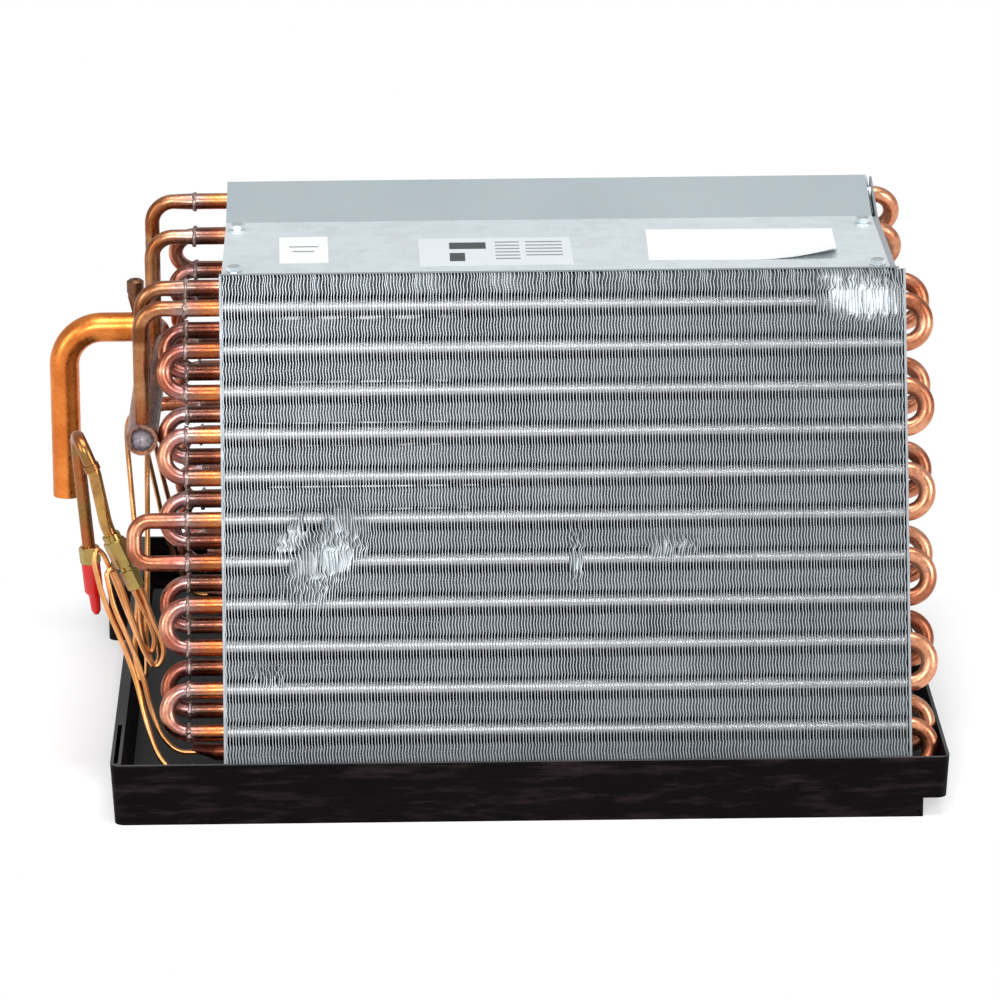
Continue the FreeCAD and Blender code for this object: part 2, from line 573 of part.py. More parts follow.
def drain_pan():
    """The moulded pan: tub, raised right end, drain boss with two ports, and the air opening's curb."""
    body = new_body("drain_pan")
    left, wall = "(sizes.slab_left - sizes.pan_left_room)", "sizes.pan_wall"
    right = "(sizes.slab_left + sizes.finned_width + sizes.pan_right_room)"
    foot = "sizes.plate_depth * cos(sizes.slab_lean * 1 deg) + sizes.pan_side_room"
    back, draft, top = inside_foot(f"({foot})", "+"), "sizes.pan_draft", "sizes.pan_height"
    step = f"{right} - sizes.overhang"
    drafted_block(
        body, "tub", "Additive",
        (f"{left} + {draft}", f"-{back} + {draft}", step, f"{back} - {draft}"), "0",
        (left, f"-{back}", step, back), top,
    )
    raised = f"{draft} * (1 - sizes.overhang_rise / {top})"
    drafted_block(
        body, "raised_end", "Additive",
        (f"{step} - 4", f"-{back} + {raised}", f"{right} - {raised}", f"{back} - {raised}"),
        "sizes.overhang_rise",
        (f"{step} - 4", f"-{back}", right, back), top,
    )
    drafted_block(
        body, "deep_end", "Additive",
        (f"{step} - 4", "sizes.boss_front", f"{right} - {draft}", f"{back} - {draft}"), "0",
        (f"{step} - 4", "sizes.boss_front", right, back), top,
    )
    boss = sketch_on(body, "boss", "XY_Plane")
    rectangle(
        boss, f"{left} - sizes.boss_reach", "sizes.boss_front", f"{left} + {draft} + 1", f"{back} - {draft}"
    )
    pad(body, "drain_boss", boss, top)
    doc.recompute()
    tall, half_y, x0, x1 = size["pan_height"], value_of(back), value_of(left), value_of(right)
    lean_in = size["pan_draft"] / 2
    shift = lean_in * (1 - size["overhang_rise"] / tall)
    boss_x = x0 - size["boss_reach"]
    corners = [
        V(x0 + lean_in, lean_in - half_y, tall / 2),
        V(boss_x, size["boss_front"], tall / 2),
        V(boss_x, half_y - size["pan_draft"], tall / 2),
        V(x1 - shift, shift - half_y, (size["overhang_rise"] + tall) / 2),
        V(x1 - lean_in, half_y - lean_in, tall / 2),
    ]
    sharp = body.Tip
    rounded = body.newObject("PartDesign::Fillet", "rounded_corners")
    rounded.Base = (sharp, near_edges(sharp, corners))
    rounded.setExpression("Radius", "sizes.pan_corner")
    doc.recompute()
    inner_left = f"{left} + sizes.left_rim"
    drafted_block(
        body, "trough", "Subtractive",
        (f"{left} + sizes.left_foot", f"-{back} + {wall} + {draft}", f"{step} - {wall}",
         f"{back} - {wall} - {draft}"),
        wall,
        (inner_left, f"-{back} + {wall}", f"{step} - {wall}", f"{back} - {wall}"), top,
    )
    start, far_wall = f"{step} - {wall} - 1", f"{right} - sizes.end_wall"
    drafted_block(
        body, "raised_trough", "Subtractive",
        (start, f"-{back} + {wall} + {raised}", f"{far_wall} - {raised}", f"{back} - {wall} - {raised}"),
        f"sizes.overhang_rise + {wall}",
        (start, f"-{back} + {wall}", far_wall, f"{back} - {wall}"), top,
    )
    drafted_block(
        body, "deep_trough", "Subtractive",
        (start, f"sizes.boss_front + {wall}", f"{far_wall} - {draft}", f"{back} - {wall} - {draft}"), wall,
        (start, f"sizes.boss_front + {wall}", far_wall, f"{back} - {wall}"), top,
    )
    outer = inside_foot("sizes.curb_gap")
    curb_left = "sizes.slab_left + sizes.curb_inset"
    curb_right = "sizes.slab_left + sizes.finned_width - sizes.curb_inset"
    curb = sketch_on(body, "curb", "XY_Plane")
    rectangle(curb, curb_left, f"-{outer}", curb_right, outer)
    pad(body, "upstand", curb, "sizes.curb_height")
    doc.recompute()
    opening = sketch_on(body, "opening", "XY_Plane")
    rectangle(
        opening, f"{curb_left} + {wall}", f"-{outer} + {wall}", f"{curb_right} - {wall}", f"{outer} - {wall}"
    )
    pocket(body, "air_opening", opening, "sizes.curb_height + 1", reverse=True)
    slot = sketch_on(body, "slot", "XY_Plane", top)
    slot_left, slot_front = f"{left} + sizes.slot_edge", f"-{back} + 2 * {wall}"
    rectangle(
        slot, slot_left, slot_front, f"{slot_left} + sizes.slot_width", f"{slot_front} + sizes.slot_length"
    )
    doc.recompute()
    pocket(body, "wall_slot", slot, "sizes.slot_depth")
    face, middle = f"{left} - sizes.boss_reach", f"({back} + sizes.boss_front) / 2"
    for name, sign in (("primary", "-"), ("overflow", "+")):
        y = f"{middle} {sign} sizes.drain_spacing / 2"
        port = sketch_on(body, f"{name}_port", "YZ_Plane", face)
        circle(port, y, "sizes.drain_height", "sizes.drain_bore / 2")
        doc.recompute()
        pocket(body, f"{name}_bore", port, "sizes.boss_reach - 1", reverse=True)
        mouth = sketch_on(body, f"{name}_mouth", "YZ_Plane", face)
        circle(mouth, y, "sizes.drain_height", "sizes.drain_mouth / 2")
        doc.recompute()
        through = "sizes.boss_reach + sizes.left_foot + 2"
        pocket(body, f"{name}_channel", mouth, through, reverse=True)
    doc.recompute()
    keep(body, "drain_pan")


drain_pan()


# ---------------------------------------------------------------- cap and delta plates
SHEET = size["cap_sheet"]
HALF_FLAT = size["cap_flat"] / 2
RIGHT = size["slab_left"] + WIDTH
CAP_RIGHT = RIGHT - size["cap_right_gap"]
SCREW_X = (size["slab_left"] + size["screw_inset"], CAP_RIGHT - size["screw_inset"])
SCREW_Y = (-HALF_FLAT + size["near_screw_edge"], HALF_FLAT - size["far_screw_edge"])
CAP_UNDER = TOP_Z + size["cap_rest"]


def rod(base, direction, radius, length):
    return Part.makeCylinder(radius, length, base, direction)


def screw(seat, outward, grip):
    """A hex washer-head sheet screw: head above the seat, shank below it."""
    head = hexagon(size["screw_head"], 3.4, seat + outward * 1.2, outward)
    washer = rod(seat, outward, size["screw_washer"], 1.25)
    shank = rod(seat - outward * grip, outward, size["screw_shank"], grip + 1)
    return head.fuse([washer, shank])


def cap_tray():
    """One folded sheet: flat between the slabs, with a wing lying on each slab's top."""
    reach = V(0, DEPTH * math.cos(LEAN), DEPTH * math.sin(LEAN))
    fold = V(0, HALF_FLAT, CAP_UNDER)
    mirrored = V(0, -fold.y, fold.z)
    line = [mirrored + V(0, -reach.y, reach.z), mirrored, fold, fold + reach]
    tray = folded_strip(line, SHEET, size["fold_radius"]).extrude(V(CAP_RIGHT - size["slab_left"], 0, 0))
    tray.translate(V(size["slab_left"], 0, 0))
    hole = size["screw_shank"] + size["tube_fit"]
    for x in SCREW_X:
        for y in SCREW_Y:
            tray = tray.cut(rod(V(x, y, CAP_UNDER - 2), Z_AXIS, hole, 6))
    feature("top_cap", tray)


def inner_face_y(z, inset):
    """Half the distance between the slabs' inner faces at a height, less an inset."""
    return FOOT_Y - (z - SEAT) * math.tan(LEAN) - inset / math.cos(LEAN)


def delta_screw_seats(slab, side):
    """Seats of the screws that hold a delta plate's side flange to the end plate's flange."""
    x = size["delta_flange"] / 2 if side == "left" else WIDTH - size["delta_flange"] / 2
    y = DEPTH + size["tube_fit"] + SHEET if slab == "near" else -size["tube_fit"] - SHEET
    place = slab_placement(slab)
    inward = place.Rotation.multVec(Y_AXIS if slab == "near" else V(0, -1, 0))
    return [(place.multVec(V(x, y, part * SLAB_LENGTH)), inward) for part in (0.3, 0.75)]


def delta_plate(side):
    """A folded trapezium that closes one end of the A between the slabs."""
    fit = size["tube_fit"]
    low, high = size["pan_wall"] + size["delta_foot"], CAP_UNDER - size["tube_fit"]
    x = size["slab_left"] if side == "left" else RIGHT
    inward = 1 if side == "left" else -1

    def trapezium(inset, bottom, top):
        yb, yt = inner_face_y(bottom, inset), inner_face_y(top, inset)
        ring = [V(x, -yb, bottom), V(x, yb, bottom), V(x, yt, top), V(x, -yt, top), V(x, -yb, bottom)]
        return Part.Face(Part.makePolygon(ring))

    web = trapezium(fit, low, high).extrude(V(inward * SHEET, 0, 0))
    outer = trapezium(fit, low, high).extrude(V(inward * size["delta_flange"], 0, 0))
    inner = trapezium(fit + SHEET, low - 1, high - SHEET).extrude(V(inward * size["delta_flange"], 0, 0))
    plate = web.fuse(outer.cut(inner))
    hole = size["screw_shank"] + fit
    screw_x = SCREW_X[0] if side == "left" else SCREW_X[1]
    for y in SCREW_Y:
        plate = plate.cut(rod(V(screw_x, y, high - 4), Z_AXIS, hole, 6))
    for slab in ("near", "far"):
        for seat, outward in delta_screw_seats(slab, side):
            plate = plate.cut(rod(seat - outward * 3, outward, hole, 6))
    feature(f"{side}_delta_plate", plate)


def pierce_plates():
    """The end plates' inner flanges take the delta plates' screws."""
    for slab in ("near", "far"):
        for side in ("left", "right"):
            body = doc.getObjectsByLabel(f"{slab}_{side}_end_plate")[0]
            holes = sketch_on(body, "screw_holes", "XZ_Plane", "2")
            x = "sizes.delta_flange / 2"
            if side == "right":
                x = f"sizes.finned_width - {x}"
            for share in (0.3, 0.75):
                circle(holes, x, f"{share} * {SLAB}", "sizes.screw_shank + sizes.tube_fit")
            doc.recompute()
            pocket(body, "flange_holes", holes, "sizes.plate_depth + 4")
            doc.recompute()


pierce_plates()
cap_tray()
for side in ("left", "right"):
    delta_plate(side)
cap_top = CAP_UNDER + SHEET
feature("cap_screws", Part.makeCompound([screw(V(x, y, cap_top), Z_AXIS, 7) for x in SCREW_X for y in SCREW_Y]))
seats = [
    seat for slab in ("near", "far") for side in ("left", "right") for seat in delta_screw_seats(slab, side)
]
feature("delta_screws", Part.makeCompound([screw(seat, outward, 5) for seat, outward in seats]))


# ---------------------------------------------------------------- suction side
HEADER_R = size["header_od"] / 2
HEADER = V(size["slab_left"] - size["header_reach"], 0, size["header_z"])
LEG_Y = size["header_back"] + size["elbow_radius"]
PORT_X = size["slab_left"] - size["port_reach"]


def stub_mouth(slab, row, number):
    """The left end of a hairpin tube, in the whole part's frame."""
    return slab_placement(slab).multVec(tube_seat(slab, row, number) - V(size["stub"], 0, 0))


BRANCHES = [(slab, row) for slab in ("near", "far") for row in ("front", "back")]


def branch_tube(slab, row):
    """From the slab's top tube out to the left, then down into the header."""
    mouth = stub_mouth(slab, row, 1)
    start = mouth + V(size["bend_insert"], 0, 0)
    corner = V(HEADER.x, mouth.y, mouth.z)
    end = V(HEADER.x, mouth.y, HEADER.z + HEADER_R - size["header_wall"] - size["branch_reach"])
    path = rounded_path([start, corner, end], [size["branch_bend"]])
    tube = bent_tube(path, BEND_R, size["bend_wall"])
    feature(f"{slab}_{row}_suction_branch", tube.fuse(braze(mouth, V(-1, 0, 0), BEND_R)))


def suction_header():
    front = V(HEADER.x, size["header_front"], HEADER.z)
    length = size["header_back"] - size["header_front"]
    tube = rod(front, Y_AXIS, HEADER_R, length).cut(
        rod(front, Y_AXIS, HEADER_R - size["header_wall"], length)
    )
    for slab, row in BRANCHES:
        mouth = stub_mouth(slab, row, 1)
        tube = tube.cut(rod(V(HEADER.x, mouth.y, HEADER.z), Z_AXIS, BEND_R + size["joint_fit"], HEADER_R))
    feature("suction_header", tube)


def header_plug():
    """A dished disc brazed into the header's closed end."""
    radius = HEADER_R - size["header_wall"] - size["joint_fit"]
    wall, dish = size["plug_sheet"], 0.8
    profile = [(0, -wall - dish), (0.7 * radius, -wall), (radius, -wall), (radius, 0), (0.7 * radius, 0), (0, -dish)]
    base = V(HEADER.x, size["header_front"] + size["plug_recess"], HEADER.z)
    feature("header_end_plug", turned(profile, base, V(0, -1, 0)))


def suction_line():
    """From the header, round a short elbow to the left, then down to the open end."""
    down = size["slab_left"] - size["suction_reach"]
    points = [
        V(HEADER.x, size["header_back"], HEADER.z),
        V(HEADER.x, LEG_Y, HEADER.z),
        V(down, LEG_Y, HEADER.z),
        V(down, LEG_Y, size["suction_end"]),
    ]
    path = rounded_path(points, [size["elbow_radius"], size["suction_bend"]])
    tube = bent_tube(path, HEADER_R, size["header_wall"])
    stem = 0.5 * size["port_radius"] + size["joint_fit"]
    tube = tube.cut(rod(V(PORT_X, LEG_Y, HEADER.z), Z_AXIS, stem, HEADER_R + 1))
    feature("suction_line", tube)


def access_port():
    """A flared service port on the line, with a screwed cap over its neck."""
    stem, body, neck = 0.5 * size["port_radius"], size["port_radius"], 0.62 * size["port_radius"]
    bore, wall, top = 1.4, size["header_wall"], size["port_height"]
    base = V(PORT_X, LEG_Y, HEADER.z + HEADER_R - wall)
    profile = [
        (bore, 0), (stem, 0), (stem, wall + 0.6), (body, top - 3), (body, top), (neck, top), (neck, top + 5),
        (bore, top + 5),
    ]
    feature("access_port", turned(profile, base, Z_AXIS))
    shell, tall = 1.12 * body, size["port_cap"]
    inner = neck + size["joint_fit"]
    cap = [
        (inner, 0), (shell - 0.5, 0), (shell, 0.6), (shell, tall - 2), (shell - 1.8, tall - 0.6), (1.3, tall - 0.6),
        (1.3, tall), (0, tall), (0, 5.6), (inner, 5.6),
    ]
    feature("access_port_cap", turned(cap, base + V(0, 0, top), Z_AXIS))


suction_header()
header_plug()
for slab, row in BRANCHES:
    branch_tube(slab, row)
suction_line()
access_port()


# ---------------------------------------------------------------- liquid side
LIQUID_R = size["liquid_od"] / 2
OUTLET_LEAN = math.radians(size["outlet_lean"])
OUTLET_DIRECTION = V(math.sin(OUTLET_LEAN), 0, -math.cos(OUTLET_LEAN))


def left_of_slabs(reach, y, z):
    return V(size["slab_left"] - reach, y, z)


FRONT_Y = size["liquid_y"]
REAR_Y = FRONT_Y + 2 * size["liquid_bend"]
DISTRIBUTOR_TOP = left_of_slabs(size["nut_reach"], FRONT_Y, size["nut_height"])
REAR_FOOT = left_of_slabs(size["flare_reach"], REAR_Y, size["flare_height"])
OVER_TOP = (
    left_of_slabs(size["rear_reach"], REAR_Y, size["liquid_top"]),
    left_of_slabs(size["front_reach"], FRONT_Y, size["liquid_top"]),
)
SOCKET = left_of_slabs(size["socket_reach"], FRONT_Y, size["socket_height"])
FIT = size["joint_fit"]


def liquid_tube():
    """An upturned U from the flare nut over to the distributor's tube, belled at its end."""
    inside_nut = (REAR_FOOT - OVER_TOP[0]).normalize() * 6
    path = rounded_path(
        [REAR_FOOT + inside_nut, *OVER_TOP, SOCKET], [0.995 * size["liquid_bend"], 0.9 * size["liquid_bend"]]
    )
    tube = bent_tube(path, LIQUID_R, size["liquid_wall"])
    along = (SOCKET - OVER_TOP[1]).normalize()
    bell = rod(SOCKET - along * 0.5, along, size["socket_od"] / 2, size["socket_length"])
    bell = bell.cut(rod(SOCKET, along, LIQUID_R + FIT, size["socket_length"]))
    bell = bell.cut(rod(SOCKET - along, along, LIQUID_R - size["liquid_wall"], 3))
    feature("liquid_tube", tube.fuse(bell))


def distributor():
    """Tube, nut and outlet in line; the outlet has a hole for each capillary."""
    along = (SOCKET - OVER_TOP[1]).normalize()
    top, way = DISTRIBUTOR_TOP, OUTLET_DIRECTION
    knee = SOCKET + along * 3
    end = top + way * 9
    tube = bent_tube(rounded_path([SOCKET + along * 0.3, knee + along * 3, top - way * 6, end], [14, 40]),
                     LIQUID_R, size["liquid_wall"])
    feature("distributor_tube", tube)
    collar, length = 4, size["nut_length"]
    nut = hexagon(size["nut_flats"], length - collar, top + way * collar, way)
    nut = nut.fuse(rod(top, way, 0.46 * size["nut_flats"], collar + 0.3))
    nut = nut.cut(rod(top, way, LIQUID_R + FIT, 9.2))
    nut = nut.cut(rod(top + way * 9, way, size["neck_radius"] + FIT, length))
    feature("distributor_nut", nut)
    neck = top + way * (length - 8)
    outlet = rod(neck, way, size["neck_radius"], 8 + size["neck_length"])
    start = neck + way * (8 + size["neck_length"])
    outlet = outlet.fuse(hexagon(size["outlet_flats"], size["outlet_length"], start, way))
    outlet = outlet.cut(rod(neck, way, 0.6 * size["neck_radius"], 8))
    for mouth in capillary_mouths():
        outlet = outlet.cut(rod(mouth - way * 5, way, CAPILLARY_R + FIT, 6))
    feature("distributor_outlet", outlet)


def capillary_mouths():
    """Where the four capillaries leave the outlet's end face."""
    reach = size["nut_length"] + size["neck_length"] + size["outlet_length"]
    face = DISTRIBUTOR_TOP + OUTLET_DIRECTION * reach
    across = Y_AXIS.cross(OUTLET_DIRECTION)
    shift = size["outlet_ring"] / math.sqrt(2)
    return [
        face + across * (a * shift) + Y_AXIS * (b * shift) for a, b in ((1, -1), (-1, -1), (-1, 1), (1, 1))
    ]


def flare_nut_and_plug():
    """The liquid tube's flare nut, its mouth closed by a soft plastic plug."""
    way = (REAR_FOOT - OVER_TOP[0]).normalize()
    length = size["cap_nut_length"]
    nut = hexagon(size["cap_nut_flats"], length, REAR_FOOT, way)
    nut = nut.cut(rod(REAR_FOOT, way, LIQUID_R + FIT, length))
    feature("flare_nut", nut)
    radius, body, tip = size["plug_radius"], size["plug_length"], size["plug_tip"]
    small = 0.5 * radius
    plug = [
        (0, -3), (LIQUID_R - 0.3, -3), (LIQUID_R - 0.3, 0), (radius, 0), (radius, body - 3), (small + 0.6, body),
        (small, body + tip - 2.5), (0.5 * small, body + tip), (0, body + tip),
    ]
    feature("protective_plug", turned(plug, REAR_FOOT + way * length, way))


# Each route lists the points between a capillary's straight exit and its crimped stub: how far beyond the
# left end plates, then along Y, then the height.
ROUTES = {
    ("near", "front"): [
        (45.6, -124.5, 97), (42.1, -124, 84), (45.1, -125, 74.5), (52.1, -128, 86), (59.6, -131.5, 108),
        (66.6, -135, 130), (71.6, -138, 144), (76.1, -141.5, 149.5), (77.1, -145, 141), (72.1, -146, 118),
        (61.1, -147, 91), (52.6, -151.5, 67), (47.1, -162, 45), (39.6, -176, 28),
    ],
    ("near", "back"): [
        (43.6, -129, 99), (38.1, -130, 87), (36.6, -130.5, 76), (42.1, -131, 67.5), (49.1, -132, 80),
        (56.1, -134, 103), (62.1, -137, 125), (66.1, -140, 136), (70.1, -143.5, 134), (66, -148, 114),
        (55.2, -149.5, 89), (48.4, -151, 68), (44.6, -153.5, 51), (39.1, -158.5, 36),
    ],
    ("far", "back"): [
        (46.1, -118, 96), (41.1, -112, 80), (40.6, -106, 65), (45.6, -100, 58), (49.6, -94, 72),
        (48.1, -88, 104), (47.6, -72, 143), (48.6, -42, 172), (49.1, 0, 180), (48.6, 50, 162),
        (46.6, 100, 124), (41.6, 145, 80), (35.6, 172, 50),
    ],
    ("far", "front"): [
        (51.1, -119, 92), (48.1, -112, 73), (48.6, -107, 56), (53.1, -102, 50), (56.6, -97, 66),
        (53.6, -90, 100), (54.6, -82, 135), (58.1, -64, 170), (61.6, -30, 188), (60.6, 15, 186),
        (55.6, 60, 160), (50.6, 104, 112), (44.6, 136, 64), (36.6, 156, 32),
    ],
}


def capillary(number, slab, row, mouth):
    """A fine tube from the distributor to the bottom stub of one row."""
    stub = stub_mouth(slab, row, TUBES)
    points = [mouth - OUTLET_DIRECTION * 4, mouth + OUTLET_DIRECTION * 9]
    points += [left_of_slabs(*p) for p in ROUTES[slab, row]]
    points += [stub - V(9, 0, 0), stub + V(5, 0, 0)]
    radii = []
    for before, at, after in zip(points, points[1:], points[2:]):
        u, w = at - before, after - at
        radii.append(0.45 * min(u.Length, w.Length) / math.tan(u.getAngle(w) / 2))
    tube = bent_tube(rounded_path(points, radii), CAPILLARY_R, size["capillary_wall"])
    feature(f"capillary_{number}", tube)


liquid_tube()
distributor()
flare_nut_and_plug()
for number, ((slab, row), mouth) in enumerate(zip(ROUTES, capillary_mouths()), start=1):
    capillary(number, slab, row, mouth)


# ---------------------------------------------------------------- check and write
doc.recompute()
for item in doc.Objects:
    if any(word in item.State for word in ("Invalid", "Error")):
        raise ValueError(f"{item.Name} failed: {item.State}")
os.makedirs("parts", exist_ok=True)
for node in parts:
    if node.Shape.isNull() or not node.Shape.isValid():
        raise ValueError(f"{node.Label} has no valid shape")
    node.Shape.exportStep(f"parts/{node.Label}.step")
print(f"{len(parts)} pieces, {sum(len(node.Shape.Solids) for node in parts)} solids")
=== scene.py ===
# %% [markdown]
# # The looks of an A-coil evaporator
# Two finned-tube slabs lean together over a black drain pan. The engineering model, packed as the
# frame, already holds every tube, plate and nut at its real place. This file adds what only a
# surface can tell: hundreds of rippled foil fins, copper stained by the brazing torch, galvanized
# sheet, scuffed plastic and plain paper labels. It reads like a notebook: each text cell says what a
# piece is on the real coil and why it is made the way that follows.

# %% Load the frame
import math
import random

import bmesh
import bpy
from mathutils import Matrix, Vector, noise


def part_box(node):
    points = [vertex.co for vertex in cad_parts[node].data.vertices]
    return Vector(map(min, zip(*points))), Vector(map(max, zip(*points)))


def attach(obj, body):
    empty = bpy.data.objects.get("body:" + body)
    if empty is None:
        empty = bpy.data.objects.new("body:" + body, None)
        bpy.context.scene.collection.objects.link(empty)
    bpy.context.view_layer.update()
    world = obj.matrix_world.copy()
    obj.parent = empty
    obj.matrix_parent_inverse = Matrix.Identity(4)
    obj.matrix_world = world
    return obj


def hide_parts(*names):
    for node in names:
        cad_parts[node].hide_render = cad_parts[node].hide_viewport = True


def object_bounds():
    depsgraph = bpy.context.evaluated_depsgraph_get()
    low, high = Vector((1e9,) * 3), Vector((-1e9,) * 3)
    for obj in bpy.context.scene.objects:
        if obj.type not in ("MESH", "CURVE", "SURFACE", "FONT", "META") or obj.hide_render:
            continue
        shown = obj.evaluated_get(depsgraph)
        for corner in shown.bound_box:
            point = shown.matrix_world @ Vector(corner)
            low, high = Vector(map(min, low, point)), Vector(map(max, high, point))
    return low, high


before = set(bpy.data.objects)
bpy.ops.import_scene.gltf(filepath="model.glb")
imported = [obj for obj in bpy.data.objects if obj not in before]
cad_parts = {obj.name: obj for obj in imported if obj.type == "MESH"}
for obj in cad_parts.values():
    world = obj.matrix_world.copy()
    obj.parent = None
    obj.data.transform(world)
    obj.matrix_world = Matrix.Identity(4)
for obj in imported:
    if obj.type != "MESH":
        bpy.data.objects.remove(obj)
cad_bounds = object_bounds()
print("nodes in the frame:", len(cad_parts))

# %% [markdown]
# ## Working units and small helpers
# The frame is in metres, but sheet metal is thought of in millimetres, so places and sizes below
# are written in millimetres and turned by one function. Every new mesh starts in a bmesh, is
# written at its final place, and its object stays at the origin, just as the frame's own nodes do.

# %% Units and pieces
MM = 0.001


def mm(*values):
    """Millimetres to metres: one number gives a number, three give a vector."""
    scaled = [value * MM for value in values]
    return scaled[0] if len(scaled) == 1 else Vector(scaled)


def finish_piece(bm, name, materials, smooth_angle=40):
    """Writes a bmesh as a piece that rides on the body, shaded smooth up to an angle."""
    mesh = bpy.data.meshes.new(name)
    for edge in bm.edges:
        if len(edge.link_faces) == 2 and edge.calc_face_angle(0) > math.radians(smooth_angle):
            edge.smooth = False
    for face in bm.faces:
        face.smooth = True
    bm.to_mesh(mesh)
    bm.free()
    piece = bpy.data.objects.new(name, mesh)
    bpy.context.scene.collection.objects.link(piece)
    for material in materials:
        mesh.materials.append(material)
    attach(piece, "root")
    return piece


def node_bmesh(node):
    """A copy of a frame node's mesh with its loose triangles joined into one surface."""
    bm = bmesh.new()
    bm.from_mesh(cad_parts[node].data)
    bmesh.ops.remove_doubles(bm, verts=bm.verts, dist=mm(0.002))
    bmesh.ops.dissolve_degenerate(bm, edges=bm.edges, dist=mm(0.001))
    return bm


def node_box(node):
    """The lowest and highest corner of a node, in millimetres."""
    low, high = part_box(node)
    return Vector(low) / MM, Vector(high) / MM


print("helpers ready")

# %% [markdown]
# ## The slab's own directions
# A slab is a flat pack that leans 17 degrees, so everything on it is easier to place along its own
# directions: along the tubes, inward through the fins, and up the slope. The two end plates of a
# slab give its corners, and the lean follows from them.

# %% Slab frames
TUBE_PITCH, TUBES = 25.4, 12
ROW_PITCH, FIN_DEPTH, PLATE_DEPTH = 22.0, 44.0, 50.0
SLAB_HEIGHT = TUBE_PITCH * TUBES
HIGH_DROP, LOW_DROP = 0.25, 0.75  # how far below the top a row's first tube lies, in tube pitches
LEAN = math.radians(17)
near_low, near_high = node_box("near_left_end_plate")
far_low, far_high = node_box("far_left_end_plate")
_, right_high = node_box("near_right_end_plate")
SLAB_LEFT, SLAB_RIGHT = near_low.x, right_high.x


class Slab:
    """Turns slab coordinates (x, inward depth from the outer face, height up the slope) to the frame."""

    def __init__(self, name, low, high):
        self.name = name
        self.side = -1 if name == "near" else 1
        outer_y = low.y if name == "near" else high.y
        self.corner = Vector((0, outer_y, low.z + PLATE_DEPTH * math.sin(LEAN)))
        self.inward = Vector((0, -self.side * math.cos(LEAN), -math.sin(LEAN)))
        self.up = Vector((0, -self.side * math.sin(LEAN), math.cos(LEAN)))

    def at(self, x, depth, height):
        """A point in metres."""
        place = self.corner + self.inward * depth + self.up * height
        return Vector((x, place.y, place.z)) * MM

    def tube(self, row, number):
        """Depth and height of a tube: row 0 is the outer row, number 1 is the top tube."""
        high_row = (self.name == "near") == (row == 1)
        drop = HIGH_DROP if high_row else LOW_DROP
        return ROW_PITCH * (0.5 + row), SLAB_HEIGHT - (number - 1 + drop) * TUBE_PITCH


near, far = Slab("near", near_low, near_high), Slab("far", far_low, far_high)
print("slab width", round(SLAB_RIGHT - SLAB_LEFT, 1), "mm, near corner", near.corner)

# %% [markdown]
# ## Colours and node trees
# Colours are picked as sRGB hex values, as in any paint program, but Cycles adds light in linear
# numbers, so one function turns a hex value to linear. One more adds a shader node with its
# settings and links in a single call, which keeps each material a short list of what it does.

# %% Colour and shader helpers
def linear(hex_value):
    """An sRGB colour such as "C87F5A" as linear red, green, blue and alpha."""
    channels = [int(hex_value[i : i + 2], 16) / 255 for i in (0, 2, 4)]
    return [c / 12.92 if c <= 0.04045 else ((c + 0.055) / 1.055) ** 2.4 for c in channels] + [1.0]


def add(tree, kind, settings=None, **sockets):
    """Adds a shader node. settings are its properties; sockets are values or links by input name."""
    node = tree.nodes.new("ShaderNode" + kind)
    for key, value in (settings or {}).items():
        setattr(node, key, value)
    for key, value in sockets.items():
        name = key.replace("_", " ")
        socket = next(s for s in node.inputs if s.name == name and s.enabled)
        if isinstance(value, bpy.types.NodeSocket):
            tree.links.new(value, socket)
        else:
            socket.default_value = value
    return node


def new_material(name):
    """An empty material: its tree, the object coordinates and its Principled shader."""
    material = bpy.data.materials.new(name)
    material.use_nodes = True
    tree = material.node_tree
    tree.nodes.clear()
    output = tree.nodes.new("ShaderNodeOutputMaterial")
    shader = add(tree, "BsdfPrincipled")
    tree.links.new(shader.outputs["BSDF"], output.inputs["Surface"])
    where = tree.nodes.new("ShaderNodeTexCoord").outputs["Object"]
    return material, tree, where, shader


def ramp(tree, factor, stops):
    """A colour ramp: stops are (position, hex colour)."""
    node = add(tree, "ValToRGB", Fac=factor)
    elements = node.color_ramp.elements
    while len(elements) < len(stops):
        elements.new(0.5)
    for element, (position, colour) in zip(elements, stops):
        element.position = position
        element.color = linear(colour)
    return node.outputs["Color"]


def mix(tree, factor, first, second, blend="MIX"):
    """Mixes two colours; each is a link or a hex value."""
    node = tree.nodes.new("ShaderNodeMix")
    node.data_type = "RGBA"
    node.blend_type = blend
    for socket, value in ((node.inputs[0], factor), (node.inputs[6], first), (node.inputs[7], second)):
        if isinstance(value, bpy.types.NodeSocket):
            tree.links.new(value, socket)
        elif isinstance(value, str):
            socket.default_value = linear(value)
        else:
            socket.default_value = value
    return node.outputs[2]


def spots(tree, where, size, detail=3.0, roughness=0.55):
    """Soft cloudy noise whose blotches are about size millimetres across, from 0 to 1."""
    return add(
        tree, "TexNoise", Vector=where, Scale=1 / mm(size), Detail=detail, Roughness=roughness
    ).outputs["Fac"]


def along(tree, where, axis, start, end):
    """0 at start and 1 at end, in millimetres along one axis of the object."""
    split = add(tree, "SeparateXYZ", Vector=where)
    return spread(tree, split.outputs[axis], mm(start), mm(end), 0, 1)


def spread(tree, value, low, high, new_low, new_high):
    """Maps a value from one range to another, and holds it there."""
    return add(
        tree, "MapRange", Value=value, From_Min=low, From_Max=high, To_Min=new_low, To_Max=new_high
    ).outputs["Result"]


def bump(tree, shader, height, distance, strength):
    """Raises the surface by a height map, distance in millimetres."""
    node = add(tree, "Bump", Strength=strength, Distance=mm(distance), Height=height)
    tree.links.new(node.outputs["Normal"], shader.inputs["Normal"])


print("shader helpers ready")

